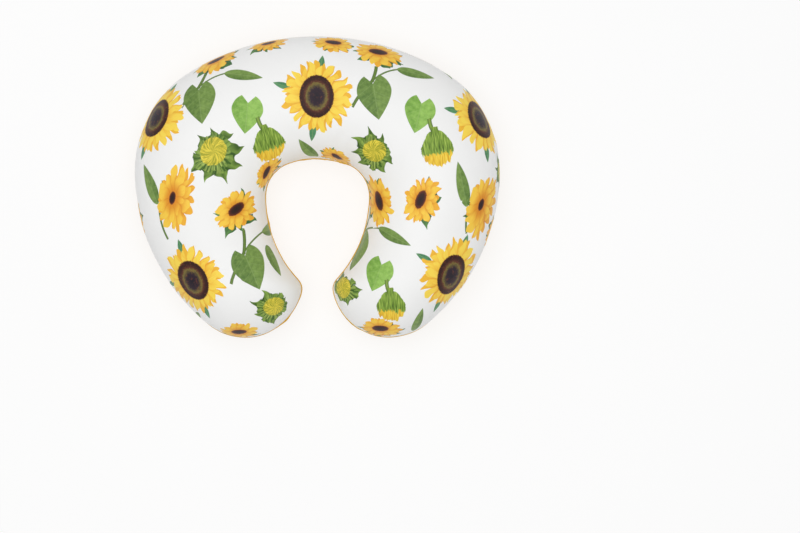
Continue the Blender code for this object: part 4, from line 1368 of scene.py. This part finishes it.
def cast_metal(node, name, body, finish, bevel=BEVEL_WIDTH):
    """A CAD piece with its triangles joined into faces and its edges rounded."""
    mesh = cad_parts[node].data.copy()
    bm = bmesh.new()
    bm.from_mesh(mesh)
    bmesh.ops.remove_doubles(bm, verts=bm.verts, dist=1e-6)
    bmesh.ops.dissolve_limit(bm, angle_limit=math.radians(2), verts=bm.verts, edges=bm.edges)
    bmesh.ops.recalc_face_normals(bm, faces=bm.faces)
    bm.to_mesh(mesh)
    bm.free()
    mesh.materials.clear()
    mesh.materials.append(finish)
    made = linked(name, mesh)
    rounding = made.modifiers.new("Bevel", "BEVEL")
    rounding.width = bevel
    rounding.segments = 3
    rounding.limit_method = "ANGLE"
    rounding.angle_limit = math.radians(35)
    mesh.shade_smooth()
    mesh.set_sharp_from_angle(angle=math.radians(40))
    stands_in(made, body, node)


# ==== Labels =====================================================================================
def care_section(low, high):
    """The folded ribbon's section as (x, z) from its middle: down, round its fold and up."""
    half = (high.x - low.x) / 2 - RIBBON_CLEARANCE
    drop = high.z - low.z - half
    section = [(half, high.z - drop * i / 10) for i in range(10)]
    for i in range(15):
        turn = -math.pi * i / 14
        bottom = low.z + half + RIBBON_CLEARANCE
        section.append((half * math.cos(turn), bottom + half * math.sin(turn)))
    return section + [(-half, low.z + half + drop * i / 10) for i in range(1, 11)]


def flat_section(low, high):
    """A single ribbon's section, from its top down."""
    return [(0, high.z - (high.z - low.z) * i / 12) for i in range(13)]


def make_label(name, node, section_of, wave, turns, lean, finish):
    """A blank satin ribbon with a slight wave along it."""
    low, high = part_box(node)
    middle = (low.x + high.x) / 2
    section = section_of(low, high)
    rows = []
    for j in range(RIBBON_ROWS + 1):
        share = j / RIBBON_ROWS
        y = low.y + (high.y - low.y) * share
        row = []
        for i, (x, z) in enumerate(section):
            bend = wave * math.sin(turns * share + lean * i / (len(section) - 1))
            row.append(Vector((middle + x + bend, y, z)))
        rows.append(row)
    ribbon = linked(name, strip_mesh(name, rows, finish))
    stands_in(thickened(ribbon, RIBBON_THICKNESS, 0), "pillow", node)


# ==== Studio =====================================================================================
def make_floor():
    floor_mesh = bpy.data.meshes.new("floor")
    bm = bmesh.new()
    bmesh.ops.create_grid(bm, x_segments=8, y_segments=8, size=FLOOR_HALF)
    bm.to_mesh(floor_mesh)
    bm.free()
    shade = Shade("studio_floor")
    grain = shade.noise(shade.object_place(), 3.0, 2.0)
    colour = shade.mixed("747474", "787878", grain)
    glow = {"emission_color": (1, 1, 1, 1), "emission_strength": FLOOR_GLOW}
    floor_mesh.materials.append(shade.finish(colour, 0.9 + grain * 0.05, **glow))
    linked("floor", floor_mesh)


def make_studio():
    """A pale floor, soft light from above and the camera."""
    scene = bpy.context.scene
    make_floor()
    world = bpy.data.worlds.new("studio")
    world.use_nodes = True
    backdrop = world.node_tree.nodes["Background"]
    backdrop.inputs["Color"].default_value = (1, 1, 1, 1)
    backdrop.inputs["Strength"].default_value = WORLD_STRENGTH
    scene.world = world
    for name, place, size, power in LAMPS:
        lamp = bpy.data.lights.new(name, "AREA")
        lamp.size = size
        lamp.energy = power
        made = linked(name, lamp)
        made.location = place
        made.rotation_euler = (-Vector(place)).to_track_quat("-Z", "Y").to_euler()

    lens = bpy.data.cameras.new("camera")
    lens.lens = LENS
    lens.sensor_width = 36
    lens.shift_x, lens.shift_y = CAMERA_SHIFT
    lens.clip_end = 50
    camera = linked("camera", lens)
    camera.location = (0, 0, CAMERA_HEIGHT)
    scene.camera = camera
    scene.view_settings.view_transform = "Standard"


def main():
    make_studio()
    thread = sewing_thread()
    nickel = nickel_plate()
    ribbon = plain_woven("satin_ribbon", "E9E8E4", "F8F7F4", 0.0005, 0.34, 0.0001, sheen_weight=0.3)
    tape = plain_woven("zip_tape", "DEDBD2", "EFEDE6", 0.0009, 0.7, 0.0003)
    front, back = make_cover(mustard_plush())
    make_inner_pillow(ticking(), polyester_fibre())
    make_tape("front", 1, tape)
    make_tape("back", -1, tape)
    tree = repeat_tree("bars_along_a_path")
    make_chain(tree, nylon_coil())
    make_topstitching(front, back, tree, thread)
    cast_metal("slider_body", "cast_slider", "slider", nickel)
    cast_metal("pull_tab", "cast_pull_tab", "tab", nickel)
    for node in ("zip_top_stop_front", "zip_top_stop_back", "zip_bottom_stop"):
        cast_metal(node, node.replace("zip", "pressed"), "pillow", nickel, STOP_BEVEL)
    make_label("blank_care_label", "care_label", care_section, 0.00012, 9, 0, ribbon)
    make_label("blank_filling_label", "filling_label", flat_section, 0.0002, 7, 3, ribbon)
    for node in ("cover_overlock_thread", "inner_overlock_thread"):
        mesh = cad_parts[node].data
        mesh.materials.clear()
        mesh.materials.append(thread)


main()
